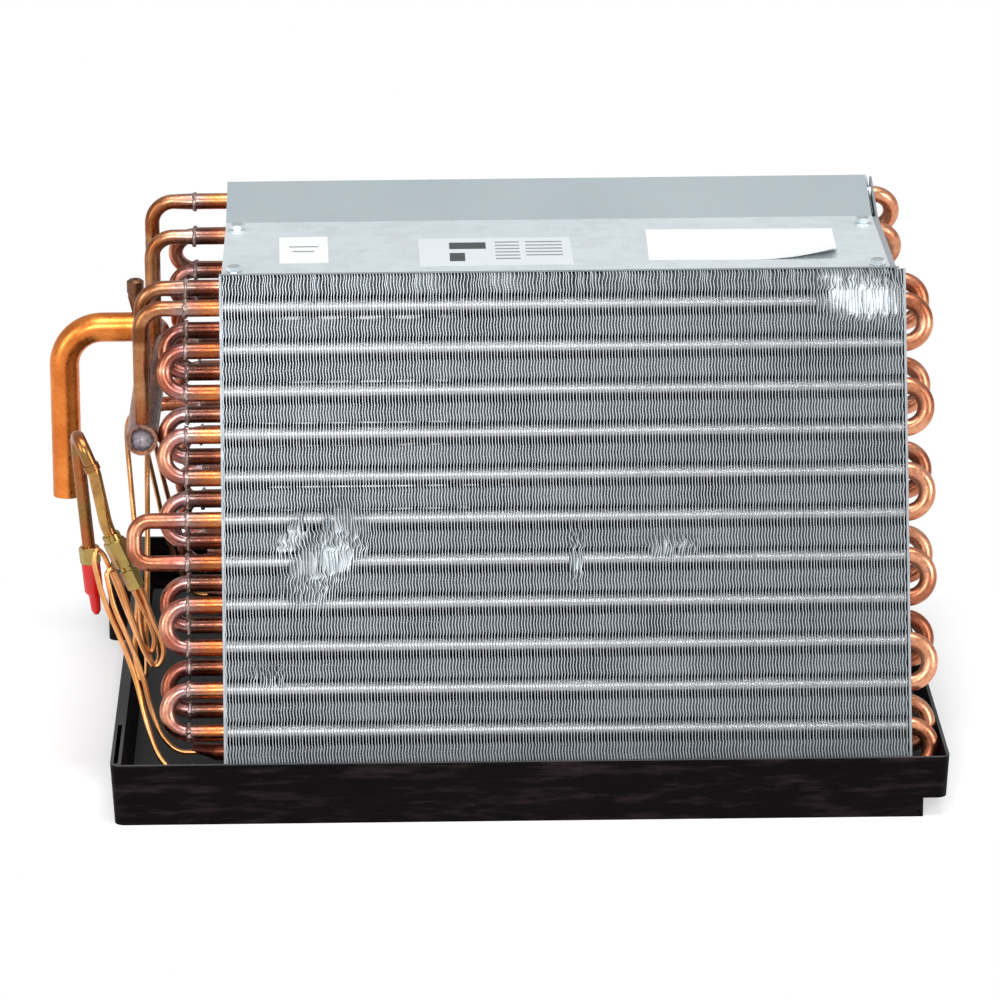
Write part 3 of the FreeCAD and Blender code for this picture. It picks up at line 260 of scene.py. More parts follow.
# %% [markdown]
# ## Copper, as drawn and as brazed
# The tubes are drawn copper: a soft satin metal with faint lengthwise variation. A torch was held at
# every joint on the left, so there the colour runs from clean orange through brown to grey, up to
# a ring of violet-grey braze alloy. The stain is a ramp along the tubes, pushed about by noise.

# %% Copper materials
STUB_REACH = 20  # how far the hairpins' ends stand out of the left end plates
JOINT_X = SLAB_LEFT - STUB_REACH  # the stubs end here, and the return bends enter them
JOINT_WIDTH = 1.9  # of a ring of braze outside a stub
JOINT_ENDS = (JOINT_X - JOINT_WIDTH - 0.05, JOINT_X + 0.02)  # its faces lie between these, with slack
BRAZE_SWELL = 0.9  # the braze is lifted by this times its noise
BRAZE_LUMP, BRAZE_GRAIN = 2.6, 0.9  # sizes of the braze's lumps and of the finer unevenness on them


def copper(name, clean, dull, roughness, blotch, flecks=0.7):
    """Drawn copper: two shades in soft blotches, flecks of handling, and small differences in gloss."""
    material, tree, where, shader = new_material(name)
    cloud = spread(tree, spots(tree, where, blotch), 0.38, 0.62, 0, 1)
    colour = mix(tree, cloud, clean, dull)
    colour = mix(tree, flecks, colour, fine_scratches(tree, where), "MULTIPLY")
    tree.links.new(colour, shader.inputs["Base Color"])
    shader.inputs["Metallic"].default_value = 1.0
    gloss = spread(tree, spots(tree, where, 3.0), 0.3, 0.7, roughness - 0.07, roughness + 0.1)
    tree.links.new(gloss, shader.inputs["Roughness"])
    bump(tree, shader, spots(tree, where, 1.2), 0.02, 0.2)
    return material


def fine_scratches(tree, where):
    """Pale to brown flecks a millimetre or two across, as handling and flux leave on copper."""
    return ramp(tree, spots(tree, where, 2.2, detail=6.0, roughness=0.7), [(0.3, "C0A090"), (0.55, "FFFFFF")])


def stained_copper(name, stops, tube_shades):
    """Copper stained by the torch: stops run along X, in millimetres, from the bends to the plates.

    tube_shades darken it in bands about a tube apart, because each joint was heated differently.
    """
    material, tree, where, shader = new_material(name)
    first, last = stops[0][0], stops[-1][0]
    wander = spread(tree, spots(tree, where, 11, detail=4.0, roughness=0.6), 0, 1, -0.17, 0.17)
    shifted = add(tree, "Math", {"operation": "ADD"})
    tree.links.new(along(tree, where, "X", first, last), shifted.inputs[0])
    tree.links.new(wander, shifted.inputs[1])
    span = last - first
    colour = ramp(tree, shifted.outputs[0], [((x - first) / span, shade) for x, shade in stops])
    bands = add(tree, "Mapping", Vector=where, Scale=(0.12, 1.0, 1.0))
    heat = ramp(tree, spots(tree, bands.outputs["Vector"], 26, detail=1.0), tube_shades)
    colour = mix(tree, 1.0, colour, heat, "MULTIPLY")
    colour = mix(tree, 0.55, colour, fine_scratches(tree, where), "MULTIPLY")
    tree.links.new(colour, shader.inputs["Base Color"])
    shader.inputs["Metallic"].default_value = 1.0
    gloss = spread(tree, spots(tree, where, 4.0), 0.3, 0.7, 0.22, 0.44)
    tree.links.new(gloss, shader.inputs["Roughness"])
    bump(tree, shader, spots(tree, where, 1.5), 0.03, 0.4)
    return material


# The shades that a stain is multiplied by, from band to band.
HEAT = [(0.36, "B89C94"), (0.46, "E0CEC6"), (0.54, "FFFFFF"), (0.66, "D4B2A6")]
hairpin_copper = stained_copper(
    "torch_stained_stub_copper",
    [(JOINT_X, "B09A94"), (JOINT_X + 4, "B48A7C"), (JOINT_X + 9, "CC8A60"), (JOINT_X + 15, "E0965C"),
     (JOINT_X + 26, "EEAC88")],
    HEAT,
)
# Painted shade: the inner rows' stubs, behind the outer rows, get a darker copy of the torch-stained stub
# copper.
painted_shade_hairpin_copper = stained_copper(
    "darker_stub_copper",
    [(JOINT_X, "8A7670"), (JOINT_X + 5, "7A5850"), (JOINT_X + 13, "8E5C48"), (JOINT_X + 26, "E2A280")],
    HEAT,
)
bend_copper = stained_copper(
    "torch_stained_bend_copper",
    [(JOINT_X - 42, "CE8E70"), (JOINT_X - 18, "DC9C7C"), (JOINT_X - 9, "D09488"), (JOINT_X - 4, "C09CA0"),
     (JOINT_X - 1, "CCBCBC"), (JOINT_X + 6, "C0B0AA")],
    HEAT,
)
branch_copper = stained_copper(
    "browned_branch_copper",
    [(JOINT_X - 42, "A67A5C"), (JOINT_X - 28, "BC8458"), (JOINT_X - 16, "D09A78"), (JOINT_X - 6, "C8A498"),
     (JOINT_X - 1, "BCAEAA"), (JOINT_X + 6, "B8AAA0")],
    [(0.36, "B09A8C"), (0.5, "FFFFFF"), (0.64, "D0B098")],
)
clean_copper = copper("drawn_copper_line", "F69448", "DC7A36", 0.3, 22, 0.35)
header_copper = copper("violet_brown_header_copper", "B48878", "8A6C6A", 0.3, 14)
capillary_copper = copper("drawn_capillary_copper", "F6B27A", "DC9858", 0.32, 18, 0.1)
liquid_copper = copper("golden_liquid_copper", "C89C58", "A87848", 0.22, 16, 0.35)
rear_leg_copper = copper("browned_liquid_copper", "B0683E", "9A7444", 0.26, 16, 0.4)

# %% [markdown]
# ## Aluminium, zinc, brass and braze
# The fins are bare rolled foil, bright but not polished. The end plates, the cap and the plates in
# the ends of the A are hot-dip galvanized steel, whose zinc grows crystals, the spangle, up to a
# centimetre across; a Voronoi cell pattern gives each crystal its own grey. The fittings are turned
# and hexagonal brass that has gone olive, and the braze alloy is a dull violet grey.

# %% Other metals
SPANGLE = 9  # how far apart the zinc's crystals are


def plain_metal(name, colour, roughness, second, blotch, grain=0.02, metallic=1.0):
    """A metal in two close shades with a fine uneven surface."""
    material, tree, where, shader = new_material(name)
    tone = mix(tree, spots(tree, where, blotch), colour, second)
    tree.links.new(tone, shader.inputs["Base Color"])
    shader.inputs["Metallic"].default_value = metallic
    shader.inputs["Roughness"].default_value = roughness
    bump(tree, shader, spots(tree, where, 1.0), grain, 0.3)
    return material


def galvanized(name, pale, dark, roughness):
    """Hot-dip zinc: each crystal is a little lighter or darker, and duller or glossier."""
    material, tree, where, shader = new_material(name)
    crystal = add(tree, "TexVoronoi", Vector=where, Scale=1 / mm(SPANGLE))
    grey = add(tree, "SeparateColor", Color=crystal.outputs["Color"]).outputs["Red"]
    shade = mix(tree, grey, pale, dark)
    worn = mix(tree, spots(tree, where, 90.0, detail=1.0), "FFFFFF", "E4E8EA")
    shade = mix(tree, 0.6, shade, worn, "MULTIPLY")
    tree.links.new(shade, shader.inputs["Base Color"])
    shader.inputs["Metallic"].default_value = 0.85
    gloss = spread(tree, grey, 0, 1, roughness - 0.05, roughness + 0.08)
    tree.links.new(gloss, shader.inputs["Roughness"])
    bump(tree, shader, spots(tree, where, 2.0), 0.02, 0.2)
    return material


def facing_up(tree):
    """The Z part of the surface normal: 1 on what faces up and -1 on what faces down."""
    normal = tree.nodes.new("ShaderNodeNewGeometry").outputs["Normal"]
    return add(tree, "SeparateXYZ", Vector=normal).outputs["Z"]


fin_foil = plain_metal("rolled_fin_foil", "B8BEC2", 0.36, "A8B0B6", 25, metallic=0.55)


def collar_metal_painted_light():
    """Drawn collars with painted light: highlight facing out, copper-tinted shade below, shade on top."""
    material, tree, where, shader = new_material("drawn_fin_collars")
    # Painted light: by which way a face points, the ramp paints a highlight on the outward faces, shade
    # tinted by reflected copper below and shade at the very top.
    tone = ramp(
        tree, spread(tree, facing_up(tree), -1, 1, 0, 1),
        [(0.2, "8A7068"), (0.36, "9C847C"), (0.43, "D0C8C4"), (0.47, "F4F2F2"),
         (0.96, "F4F4F6"), (0.99, "8A9094")],
    )
    tone = mix(tree, 0.2, tone, fine_scratches(tree, where), "MULTIPLY")
    tree.links.new(tone, shader.inputs["Base Color"])
    shader.inputs["Metallic"].default_value = 0.75
    shader.inputs["Roughness"].default_value = 0.44
    return material


collar_foil_painted_light = collar_metal_painted_light()
end_zinc = galvanized("galvanized_end_sheet", "A9AFB3", "9AA1A6", 0.45)
# Painted light: the cap's flat and its wings are one sheet, painted as a lighter lit copy for the flat and a
# darker shaded copy for the wings.
painted_lit_cap_zinc = galvanized("galvanized_cap_sheet", "D4DADD", "CFD6D9", 0.66)
painted_shade_wing_zinc = galvanized("galvanized_cap_wing", "B0B8BC", "ABB4B8", 0.66)
cut_edge = plain_metal("sheared_sheet_edge", "7E8589", 0.5, "6A7175", 5)
delta_zinc = galvanized("galvanized_delta_sheet", "C4CACE", "B4BBC0", 0.42)
screw_zinc = plain_metal("zinc_plated_screws", "F0F6F8", 0.24, "D4DADE", 3)
braze_alloy = plain_metal("violet_grey_braze_alloy", "CCBCB8", 0.38, "7A625E", 2.5, 0.15)
browned_brass = plain_metal("heat_browned_brass", "8A6248", 0.34, "5E4034", 4)
fitting_brass = plain_metal("olive_machined_brass", "CCAC66", 0.26, "96804A", 6)


def end_plug_metal():
    """The header's end: greyed by the torch, a painted highlight lighter in the middle, a dark seam inside
    its rim.
    """
    material, tree, where, shader = new_material("torch_greyed_end_plug")
    low, high = node_box("header_end_plug")
    reach = (high.x - low.x) / 2
    middle = (low + high) / 2 / reach
    scale = (1 / mm(reach), 0, 1 / mm(reach))
    centred = add(tree, "Mapping", Vector=where, Location=(-middle.x, 0, -middle.z), Scale=scale)
    distance = add(tree, "VectorMath", {"operation": "LENGTH"}, Vector=centred.outputs["Vector"])
    wander = spread(tree, spots(tree, where, 3), 0.3, 0.7, -0.1, 0.1)
    ragged = add(tree, "Math", {"operation": "ADD"})
    tree.links.new(distance.outputs["Value"], ragged.inputs[0])
    tree.links.new(wander, ragged.inputs[1])
    # Painted highlight: the ramp makes the disc lighter towards its middle; the dark seam and copper rim are
    # its own colours.
    tone = ramp(
        tree, ragged.outputs[0],
        [(0.0, "C8C0C6"), (0.45, "A0989E"), (0.7, "6E646A"), (0.82, "4A4044"),
         (0.9, "A87C66"), (1.0, "C4946E")],
    )
    mottling = ramp(tree, spots(tree, where, 2.2, detail=5.0), [(0.35, "90868C"), (0.6, "FFFFFF")])
    tree.links.new(mix(tree, 0.7, tone, mottling, "MULTIPLY"), shader.inputs["Base Color"])
    shader.inputs["Metallic"].default_value = 1.0
    shader.inputs["Roughness"].default_value = 0.34
    bump(tree, shader, spots(tree, where, 2.0), 0.06, 0.5)
    return material


plug_metal = end_plug_metal()
print("metals:", len(bpy.data.materials))

# %% [markdown]
# ## Plastics and paper
# The pan is moulded black plastic, which handling has scuffed: long brownish streaks on its walls.
# What faces up is painted a lighter grey, as painted light from above. The plug in the flare nut is
# soft red plastic. The labels on the cap sheet are matt white paper, with a silvery film for the
# plate. Only plain grey bars and dark fields are printed on them.

# %% Plastics and paper
def pan_plastic():
    """Moulded black plastic, scuffed along X and duller there, with painted light making its top lighter."""
    material, tree, where, shader = new_material("scuffed_black_pan_plastic")
    stretched = add(tree, "Mapping", Vector=where, Scale=(0.25, 1.0, 1.6), Rotation=(0, 0.35, 0))
    streak = spots(tree, stretched.outputs["Vector"], 12, detail=6.0, roughness=0.65)
    scuff = spread(tree, streak, 0.5, 0.78, 0, 1)
    base = mix(tree, spots(tree, where, 60), "070505", "0C0809")
    colour = mix(tree, scuff, base, "2C2224")
    # Painted light: faces that point up are lightened towards grey, standing for light from above and the
    # highlight along the rim.
    painted_top_light = spread(tree, facing_up(tree), 0.4, 1.0, 0, 0.55)
    colour = mix(tree, painted_top_light, colour, "545658")
    tree.links.new(colour, shader.inputs["Base Color"])
    tree.links.new(spread(tree, scuff, 0, 1, 0.42, 0.65), shader.inputs["Roughness"])
    shader.inputs["IOR"].default_value = 1.46
    shader.inputs["Specular IOR Level"].default_value = 0.04
    bump(tree, shader, spots(tree, where, 1.0), 0.03, 0.35)
    return material


def smooth_plastic(name, colour, second, roughness):
    """A smooth plastic or ink whose colour drifts a little."""
    material, tree, where, shader = new_material(name)
    tree.links.new(mix(tree, spots(tree, where, 12), colour, second), shader.inputs["Base Color"])
    shader.inputs["Roughness"].default_value = roughness
    return material


def paper(name, colour, roughness):
    """Paper or label film: almost even in colour, with a fine grain."""
    material, tree, where, shader = new_material(name)
    tone = mix(tree, spots(tree, where, 18), colour, "D0D2D2")
    tree.links.new(mix(tree, 0.35, colour, tone), shader.inputs["Base Color"])
    shader.inputs["Roughness"].default_value = roughness
    bump(tree, shader, spots(tree, where, 0.8), 0.02, 0.3)
    return material


black_plastic = pan_plastic()
red_plastic = smooth_plastic("soft_red_plug_plastic", "C80603", "B00402", 0.34)
white_paper = paper("blank_label_paper", "CCCECE", 0.7)
label_film = paper("blank_silver_label_film", "B9C0C5", 0.4)
print_grey = smooth_plastic("printed_grey_field", "6A7074", "7A8084", 0.6)
print_dark = smooth_plastic("printed_dark_field", "2A2E30", "34383A", 0.5)
print("materials:", len(bpy.data.materials))

# %% [markdown]
# ## The frame's own nodes get their finish
# Most nodes already have the right shape. Their meshes are loose flat triangles, though, and a
# tube drawn so would show its facets. Each is copied, joined and shaded smooth up to an angle, and
# the copy stands for the node. Where one node shows two finishes, such as a bend with its ring of
# braze, faces are given the second material by where they lie. Braze runs unevenly, so noise lifts
# its rings here and there.

# %% Dress the nodes
SLAB_ROWS = [(slab, row) for slab in ("near", "far") for row in ("front", "back")]


def dress(node, slot, *materials, pick=None, smooth_angle=40, reshape=None):
    """A smooth copy of a node, which stands for it.

    pick takes a face's middle, in millimetres, and its normal, and gives the face's material index.
    reshape moves the copy's vertices a little.
    """
    bm = node_bmesh(node)
    if reshape:
        reshape(bm)
    if pick:
        for face in bm.faces:
            face.material_index = pick(face.calc_center_median() / MM, face.normal)
    piece = finish_piece(bm, f"{node}_finish", materials, smooth_angle)
    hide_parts(node)
    return piece


def in_joint(centre, normal):
    """1 where a face belongs to a braze ring at the end of a stub, and 0 elsewhere."""
    return int(JOINT_ENDS[0] < centre.x < JOINT_ENDS[1])


def lumpy_braze(bm):
    """Makes the braze rings swell outward here and there."""
    bm.normal_update()
    for vert in bm.verts:
        if in_joint(vert.co / MM, None):
            swell = noise.noise(vert.co / mm(BRAZE_LUMP)) + 0.5 * noise.noise(vert.co / mm(BRAZE_GRAIN))
            vert.co += vert.normal * mm(BRAZE_SWELL) * max(0.0, 0.25 + swell)


for slab, row in SLAB_ROWS:
    # Painted shade: the stubs of the inner rows take the darker copy.
    shown = hairpin_copper if (slab == "near") == (row == "front") else painted_shade_hairpin_copper
    for number in range(1, TUBES // 2 + 1):
        dress(f"{slab}_{row}_hairpin_{number}", "hairpin_copper", shown)
    joined = {"pick": in_joint, "reshape": lumpy_braze}
    dress(f"{slab}_{row}_return_bends", "bend_copper", bend_copper, braze_alloy, **joined)
    dress(f"{slab}_{row}_suction_branch", "branch_copper", branch_copper, braze_alloy, **joined)
for slab in ("near", "far"):
    for side in ("left", "right"):
        dress(f"{slab}_{side}_end_plate", "end_sheet", end_zinc)
for side in ("left", "right"):
    dress(f"{side}_delta_plate", "delta_sheet", delta_zinc)
for number in range(1, 5):
    dress(f"capillary_{number}", "capillary_copper", capillary_copper, smooth_angle=60)
for node in ("distributor_nut", "distributor_outlet", "flare_nut"):
    dress(node, "fitting_brass", fitting_brass, smooth_angle=28)
for node in ("access_port", "access_port_cap"):
    dress(node, "fitting_brass", browned_brass, smooth_angle=28)
for node in ("cap_screws", "delta_screws"):
    dress(node, "screw_steel", screw_zinc, smooth_angle=28)
dress("liquid_tube", "liquid_copper", rear_leg_copper)
dress("distributor_tube", "liquid_copper", liquid_copper)
dress("suction_header", "header_copper", header_copper)
dress("header_end_plug", "plug_metal", plug_metal)
dress("suction_line", "line_copper", clean_copper)
dress("protective_plug", "red_plastic", red_plastic)


def cap_face(centre, normal):
    """0 on the cap's flat, 1 on its wings and 2 on its sheared edges."""
    if abs(normal.x) > 0.9 or abs(normal.y) > 0.7:
        return 2
    return int(abs(normal.y) > 0.15)


# Painted light: the flat takes the lit copy of the zinc and the wings the shaded copy, by which way their
# faces point.
dress("top_cap", "cap_sheet", painted_lit_cap_zinc, painted_shade_wing_zinc, cut_edge, pick=cap_face)
dress("drain_pan", "pan_plastic", black_plastic, smooth_angle=30)

# %% [markdown]
# ## Rippled fins
# A real slab holds a foil every 1.8 mm. Each foil is flat where the tubes pass, and pressed into
# small waves between them to stir the air, so its front edge runs up the slab as a row of S curves.
# One foil is made from a grid, given its thickness and waves, and then repeated across the slab.
# The foil is 0.11 mm thick in truth. It is drawn thicker, and thicker still at its front edge, or
# its bright edge would not show. On the near slab some fins are crushed, and the top ends ruffled.

# %% Fins
FIN_PITCH, FIN_THICKNESS, FIN_EDGE = 1.8, 0.2, 0.4
FIRST_FIN = 2.0  # from the outside of the left end plate to the first foil
WAVE_LENGTH, WAVE_REACH = 8.8, 0.34
FLAT_HALF = 6.0  # the foil stays flat this far above and below a tube's axis
WAVE_START = 1.5  # the length over which the waves grow to their full reach
STATIONS = (0.0, 1.8, 3.8, FIN_DEPTH)  # where a foil's rows of points lie, behind its edge
ZIGZAG = (0.0, 0.85, -0.85, 0.0)  # how far the pressed waves lean sideways at each of them
EDGE_DEPTH = STATIONS[1] / 2  # points nearer the front than this belong to the front edge
WAVE_DEPTH = STATIONS[2] + 0.5  # and points behind this to the flat back of the foil
FIN_SWAY = 0.16  # how far a foil's front edge may stand off its place, to either side
DENTS = [  # x, height, half length, half width, all in millimetres, tilt in degrees, sideways bend
    (-95, 136, 31, 15, 50, 2.2), (-113, 149, 15, 6, 50, -1.2),
    (230, 288, 22, 16, 0, 2.7), (205, 292, 7, 12, 0, 0.9),
    (112, 141, 15, 6, 0, 1.6), (55, 136, 5, 18, 0, 0.8), (-130, 66, 10, 5, 0, 0.6),
]
DENT_FADE = 1.4  # a dent has faded out at this many times its half length and half width
DENT_PUSH = 0.4  # how far a dent is pushed in, before its crumples
CRUMPLE_SIZE = (3.2, 2.8)  # of the crumples in a dent, along the slab and up it
CRUMPLE_BEND, CRUMPLE_PUSH = 2.4, 1.6  # how far they bend an edge sideways and push it in
RUFFLE_START = 16  # the ruffle starts this far below the top,
RUFFLE_FADE = 12  # and has its full reach this far above its start


def foil_heights(slab, step):
    """Heights of a foil's points: at every tube, where its flat ends, and each step of a wave between."""
    _, lowest = slab.tube(0, TUBES)
    count = round((TUBE_PITCH - 2 * FLAT_HALF) / step)
    lifts = [0.0] + [FLAT_HALF + step * i for i in range(count + 1)]
    heights = [lowest + TUBE_PITCH * k + lift for k in range(-1, TUBES) for lift in lifts]
    return [0.0] + [z for z in heights if 0.5 < z < SLAB_HEIGHT - 0.5] + [SLAB_HEIGHT]


def foil(slab, step):
    """One fin at x = 0 as a closed thin sheet, straight but with its waves."""
    bm = bmesh.new()
    heights = foil_heights(slab, step)
    bmesh.ops.create_grid(bm, x_segments=len(heights) - 1, y_segments=len(STATIONS) - 1, size=0.5)
    for vert in bm.verts:
        level = round((vert.co.x + 0.5) * (len(heights) - 1))
        station = round((vert.co.y + 0.5) * (len(STATIONS) - 1))
        vert.co = Vector((0, STATIONS[station], heights[level]))
    bm.normal_update()
    bmesh.ops.solidify(bm, geom=bm.faces, thickness=FIN_THICKNESS)
    shift = sum(vert.co.x for vert in bm.verts) / len(bm.verts)
    _, lowest = slab.tube(0, TUBES)
    for vert in bm.verts:
        vert.co.x -= shift
        if vert.co.y < EDGE_DEPTH:
            vert.co.x *= FIN_EDGE / FIN_THICKNESS
    for vert in bm.verts:
        station = min(range(len(STATIONS)), key=lambda i: abs(STATIONS[i] - vert.co.y))
        lift = (vert.co.z - lowest) % TUBE_PITCH
        fade = max(0.0, min(1.0, (min(lift, TUBE_PITCH - lift) - FLAT_HALF) / WAVE_START))
        vert.co.x += ZIGZAG[station] * fade
        if station < 2:
            vert.co.x += WAVE_REACH * fade * math.sin(2 * math.pi * (lift - FLAT_HALF) / WAVE_LENGTH)
    mesh = bpy.data.meshes.new(f"{slab.name}_foil")
    bm.to_mesh(mesh)
    bm.free()
    return mesh


def dent(x, height):
    """How far the edge of a fin is bent sideways and pushed in at a place on the near slab."""
    sideways = inward = 0.0
    for at_x, at_height, long, wide, tilt, bend in DENTS:
        turn = math.radians(tilt)
        dx, dz = x - at_x, height - at_height
        u = dx * math.cos(turn) + dz * math.sin(turn)
        v = dz * math.cos(turn) - dx * math.sin(turn)
        if abs(u) < DENT_FADE * long and abs(v) < DENT_FADE * wide:
            push = math.exp(-((u / long) ** 4) - (v / wide) ** 4)
            crumple = noise.noise((x / CRUMPLE_SIZE[0], height / CRUMPLE_SIZE[1], at_x))
            sideways += push * (bend + CRUMPLE_BEND * crumple)
            inward += push * (DENT_PUSH + CRUMPLE_PUSH * abs(crumple))
    ruffle = max(0.0, min(1.0, (height - SLAB_HEIGHT + RUFFLE_START) / RUFFLE_FADE))
    short, broad = noise.noise((x / 5, height / 14, 3.1)), noise.noise((x / 23, 0.3, 8.7))
    return sideways + ruffle * (1.6 * short + 1.2 * broad), inward


def fin_piece(slab, name, first, last, single):
    """Fins number first to last of a slab as one mesh."""
    bm = bmesh.new()
    rng = random.Random(first * 7 + len(slab.name))
    for number in range(first, last):
        before = len(bm.verts)
        bm.from_mesh(single)
        bm.verts.ensure_lookup_table()
        x = SLAB_LEFT + FIRST_FIN + number * FIN_PITCH
        sway = rng.uniform(-FIN_SWAY, FIN_SWAY)
        for vert in bm.verts[before:]:
            offset, depth, height = vert.co
            sideways = inward = 0.0
            if depth < EDGE_DEPTH:
                if slab is near:
                    sideways, inward = dent(x, height)
                sideways += sway
            elif depth < WAVE_DEPTH:
                offset *= 0.9 + 0.3 * noise.noise((x / 34, height / 16, 5.5))
            vert.co = slab.at(x + offset + sideways, depth + inward, height)
    bmesh.ops.recalc_face_normals(bm, faces=bm.faces)
    return finish_piece(bm, name, [fin_foil], 30)


FIN_TOTAL = int((SLAB_RIGHT - SLAB_LEFT - 2 * FIRST_FIN) / FIN_PITCH) + 1
for slab, step in ((near, WAVE_LENGTH / 4), (far, WAVE_LENGTH * 3 / 8)):
    single = foil(slab, step)
    halves = []
    for part, (first, last) in enumerate(((0, FIN_TOTAL // 2), (FIN_TOTAL // 2, FIN_TOTAL)), start=1):
        halves.append(fin_piece(slab, f"{slab.name}_fins_{part}", first, last, single))
    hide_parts(f"{slab.name}_fin_pack")
    triangles = sum(len(face.vertices) - 2 for half in halves for face in half.data.polygons)
    print(slab.name, "fins:", FIN_TOTAL, "triangles:", triangles)

# %% [markdown]
# ## Fin collars
# Where a tube passes a foil, the foil is drawn into a collar that touches the next foil, so the
# stacked collars hide the copper. Their pale band behind the fin edges is a painted highlight, with
# painted shade at their top and painted shade tinted by reflected copper below. One smooth sleeve
# per tube is enough behind the fins.

# %% Collars
COLLAR_RADIUS, COLLAR_SIDES = 5.45, 20
COLLAR_ROOM = 1.6  # from the outside of an end plate to the collars


def sleeve(bm, slab, row, number):
    """A sleeve round one tube between the end plates."""
    depth, height = slab.tube(row, number)
    length = SLAB_RIGHT - SLAB_LEFT - 2 * COLLAR_ROOM
    middle = slab.at((SLAB_LEFT + SLAB_RIGHT) / 2, depth, height)
    turn = Matrix.Rotation(math.radians(90), 4, "Y")
    bmesh.ops.create_cone(
        bm, segments=COLLAR_SIDES, radius1=mm(COLLAR_RADIUS), radius2=mm(COLLAR_RADIUS), depth=mm(length),
        matrix=Matrix.Translation(middle) @ turn,
    )


for slab in (near, far):
    bm = bmesh.new()
    for row in (0, 1):
        for number in range(1, TUBES + 1):
            sleeve(bm, slab, row, number)
    finish_piece(bm, f"{slab.name}_fin_collars", [collar_foil_painted_light])
print("collars done")

# %% [markdown]
# ## Plain labels on the cap
# Three labels lie on the flat of the cap: a small one, a plate in the middle and a large paper one
# whose near right corner has lifted. Each is a thin sheet made from a grid; the lifted corner is
# raised along a smooth curve towards the corner. Their print is left as plain bars and fields.

# %% Labels
cap_low, _ = node_box("top_cap")
CAP_SHEET = 1.0  # thickness of the cap's sheet, whose flat is the lowest part of the cap
CAP_TOP = cap_low.z + CAP_SHEET
SMALL_LABEL = (-122, -92, -35, 26)  # left, right, front and back edge of each label
PLATE_LABEL = (-36, 58, -45, 19)
LARGE_LABEL = (105, 221, -38, 34)
LABEL_THICKNESS = 0.1
LABEL_RISE, PRINT_RISE = 0.12, 0.16  # heights of a label's top and of its print above the cap
CURL_START = 0.55  # the lifted corner starts this far across the label


def label(name, material, edges, turn, curl=0.0):
    """A label turned by degrees, with its near right corner lifted by curl."""
    bm = bmesh.new()
    x0, x1, y0, y1 = edges
    bmesh.ops.create_grid(bm, x_segments=24, y_segments=16, size=0.5)
    spin = Matrix.Rotation(math.radians(turn), 3, "Z")
    for vert in bm.verts:
        u, v = vert.co.x + 0.5, vert.co.y + 0.5
        lift = max(0.0, u - v - CURL_START) / (1 - CURL_START)
        raised = curl * lift**2
        flat = spin @ Vector(((u - 0.5) * (x1 - x0), (v - 0.5) * (y1 - y0), 0))
        flat += Vector(((x0 + x1) / 2 - raised / 2, (y0 + y1) / 2, CAP_TOP + LABEL_RISE + raised))
        vert.co = flat * MM
    bmesh.ops.recalc_face_normals(bm, faces=bm.faces)
    bmesh.ops.solidify(bm, geom=bm.faces, thickness=mm(LABEL_THICKNESS))
    return finish_piece(bm, name, [material], 50)


def print_fields(name, material, edges, boxes):
    """Plain printed bars on a label: each box is left, right, front, back as shares of the label."""
    bm = bmesh.new()
    x0, x1, y0, y1 = edges
    for left, right, front, back in boxes:
        grid = bmesh.ops.create_grid(bm, x_segments=1, y_segments=1, size=0.5)
        for vert in grid["verts"]:
            u = left + (vert.co.x + 0.5) * (right - left)
            v = front + (vert.co.y + 0.5) * (back - front)
            vert.co = mm(x0 + u * (x1 - x0), y0 + v * (y1 - y0), CAP_TOP + PRINT_RISE)
    return finish_piece(bm, name, [material], 50)


label("small_label", white_paper, SMALL_LABEL, turn=1.0)
label("plate_label", label_film, PLATE_LABEL, turn=0.6)
label("large_label", white_paper, LARGE_LABEL, turn=-1.2, curl=7.0)
PLATE_FIELDS = [(0.2, 0.44, 0.6, 0.84), (0.2, 0.3, 0.16, 0.46)]
PLATE_RULES = [(0.5, 0.66, 0.82 - 0.12 * i, 0.86 - 0.12 * i) for i in range(6)]
PLATE_RULES += [(0.7, 0.94, 0.82 - 0.12 * i, 0.86 - 0.12 * i) for i in range(5)]
SMALL_RULES = [(0.2, 0.8, 0.6, 0.64), (0.28, 0.72, 0.42, 0.46)]
print_fields("plate_print_dark", print_dark, PLATE_LABEL, PLATE_FIELDS)
print_fields("plate_print_rules", print_grey, PLATE_LABEL, PLATE_RULES)
print_fields("small_print_rules", print_grey, SMALL_LABEL, SMALL_RULES)
print("labels done")

# %% [markdown]
# ## Floor, light and camera
# A plain pale floor and soft studio light: a wide lamp above, one from the front left and a weaker
# one from either side. The camera stands over three metres off with a long lens, and looks down at
# about 16 degrees.

# %% Stage
COIL_MIDDLE = (0, 0, 0.15)  # in metres, where the lamps point
FLOOR_REACH = 8  # metres from the middle of the floor to its edges


def emission_world(strength, seen):
    """A pale surround that lights softly and shows as white behind the object."""
    world = bpy.data.worlds.new("studio")
    bpy.context.scene.world = world
    world.use_nodes = True
    tree = world.node_tree
    tree.nodes.clear()
    path = tree.nodes.new("ShaderNodeLightPath")
    amount = add(tree, "Mix", {"data_type": "FLOAT"})
    amount.inputs[2].default_value = strength
    amount.inputs[3].default_value = seen
    tree.links.new(path.outputs["Is Camera Ray"], amount.inputs[0])
    back = add(tree, "Background")
    back.inputs["Color"].default_value = (1, 1, 1, 1)
    tree.links.new(amount.outputs[0], back.inputs["Strength"])
    output = tree.nodes.new("ShaderNodeOutputWorld")
    tree.links.new(back.outputs["Background"], output.inputs["Surface"])


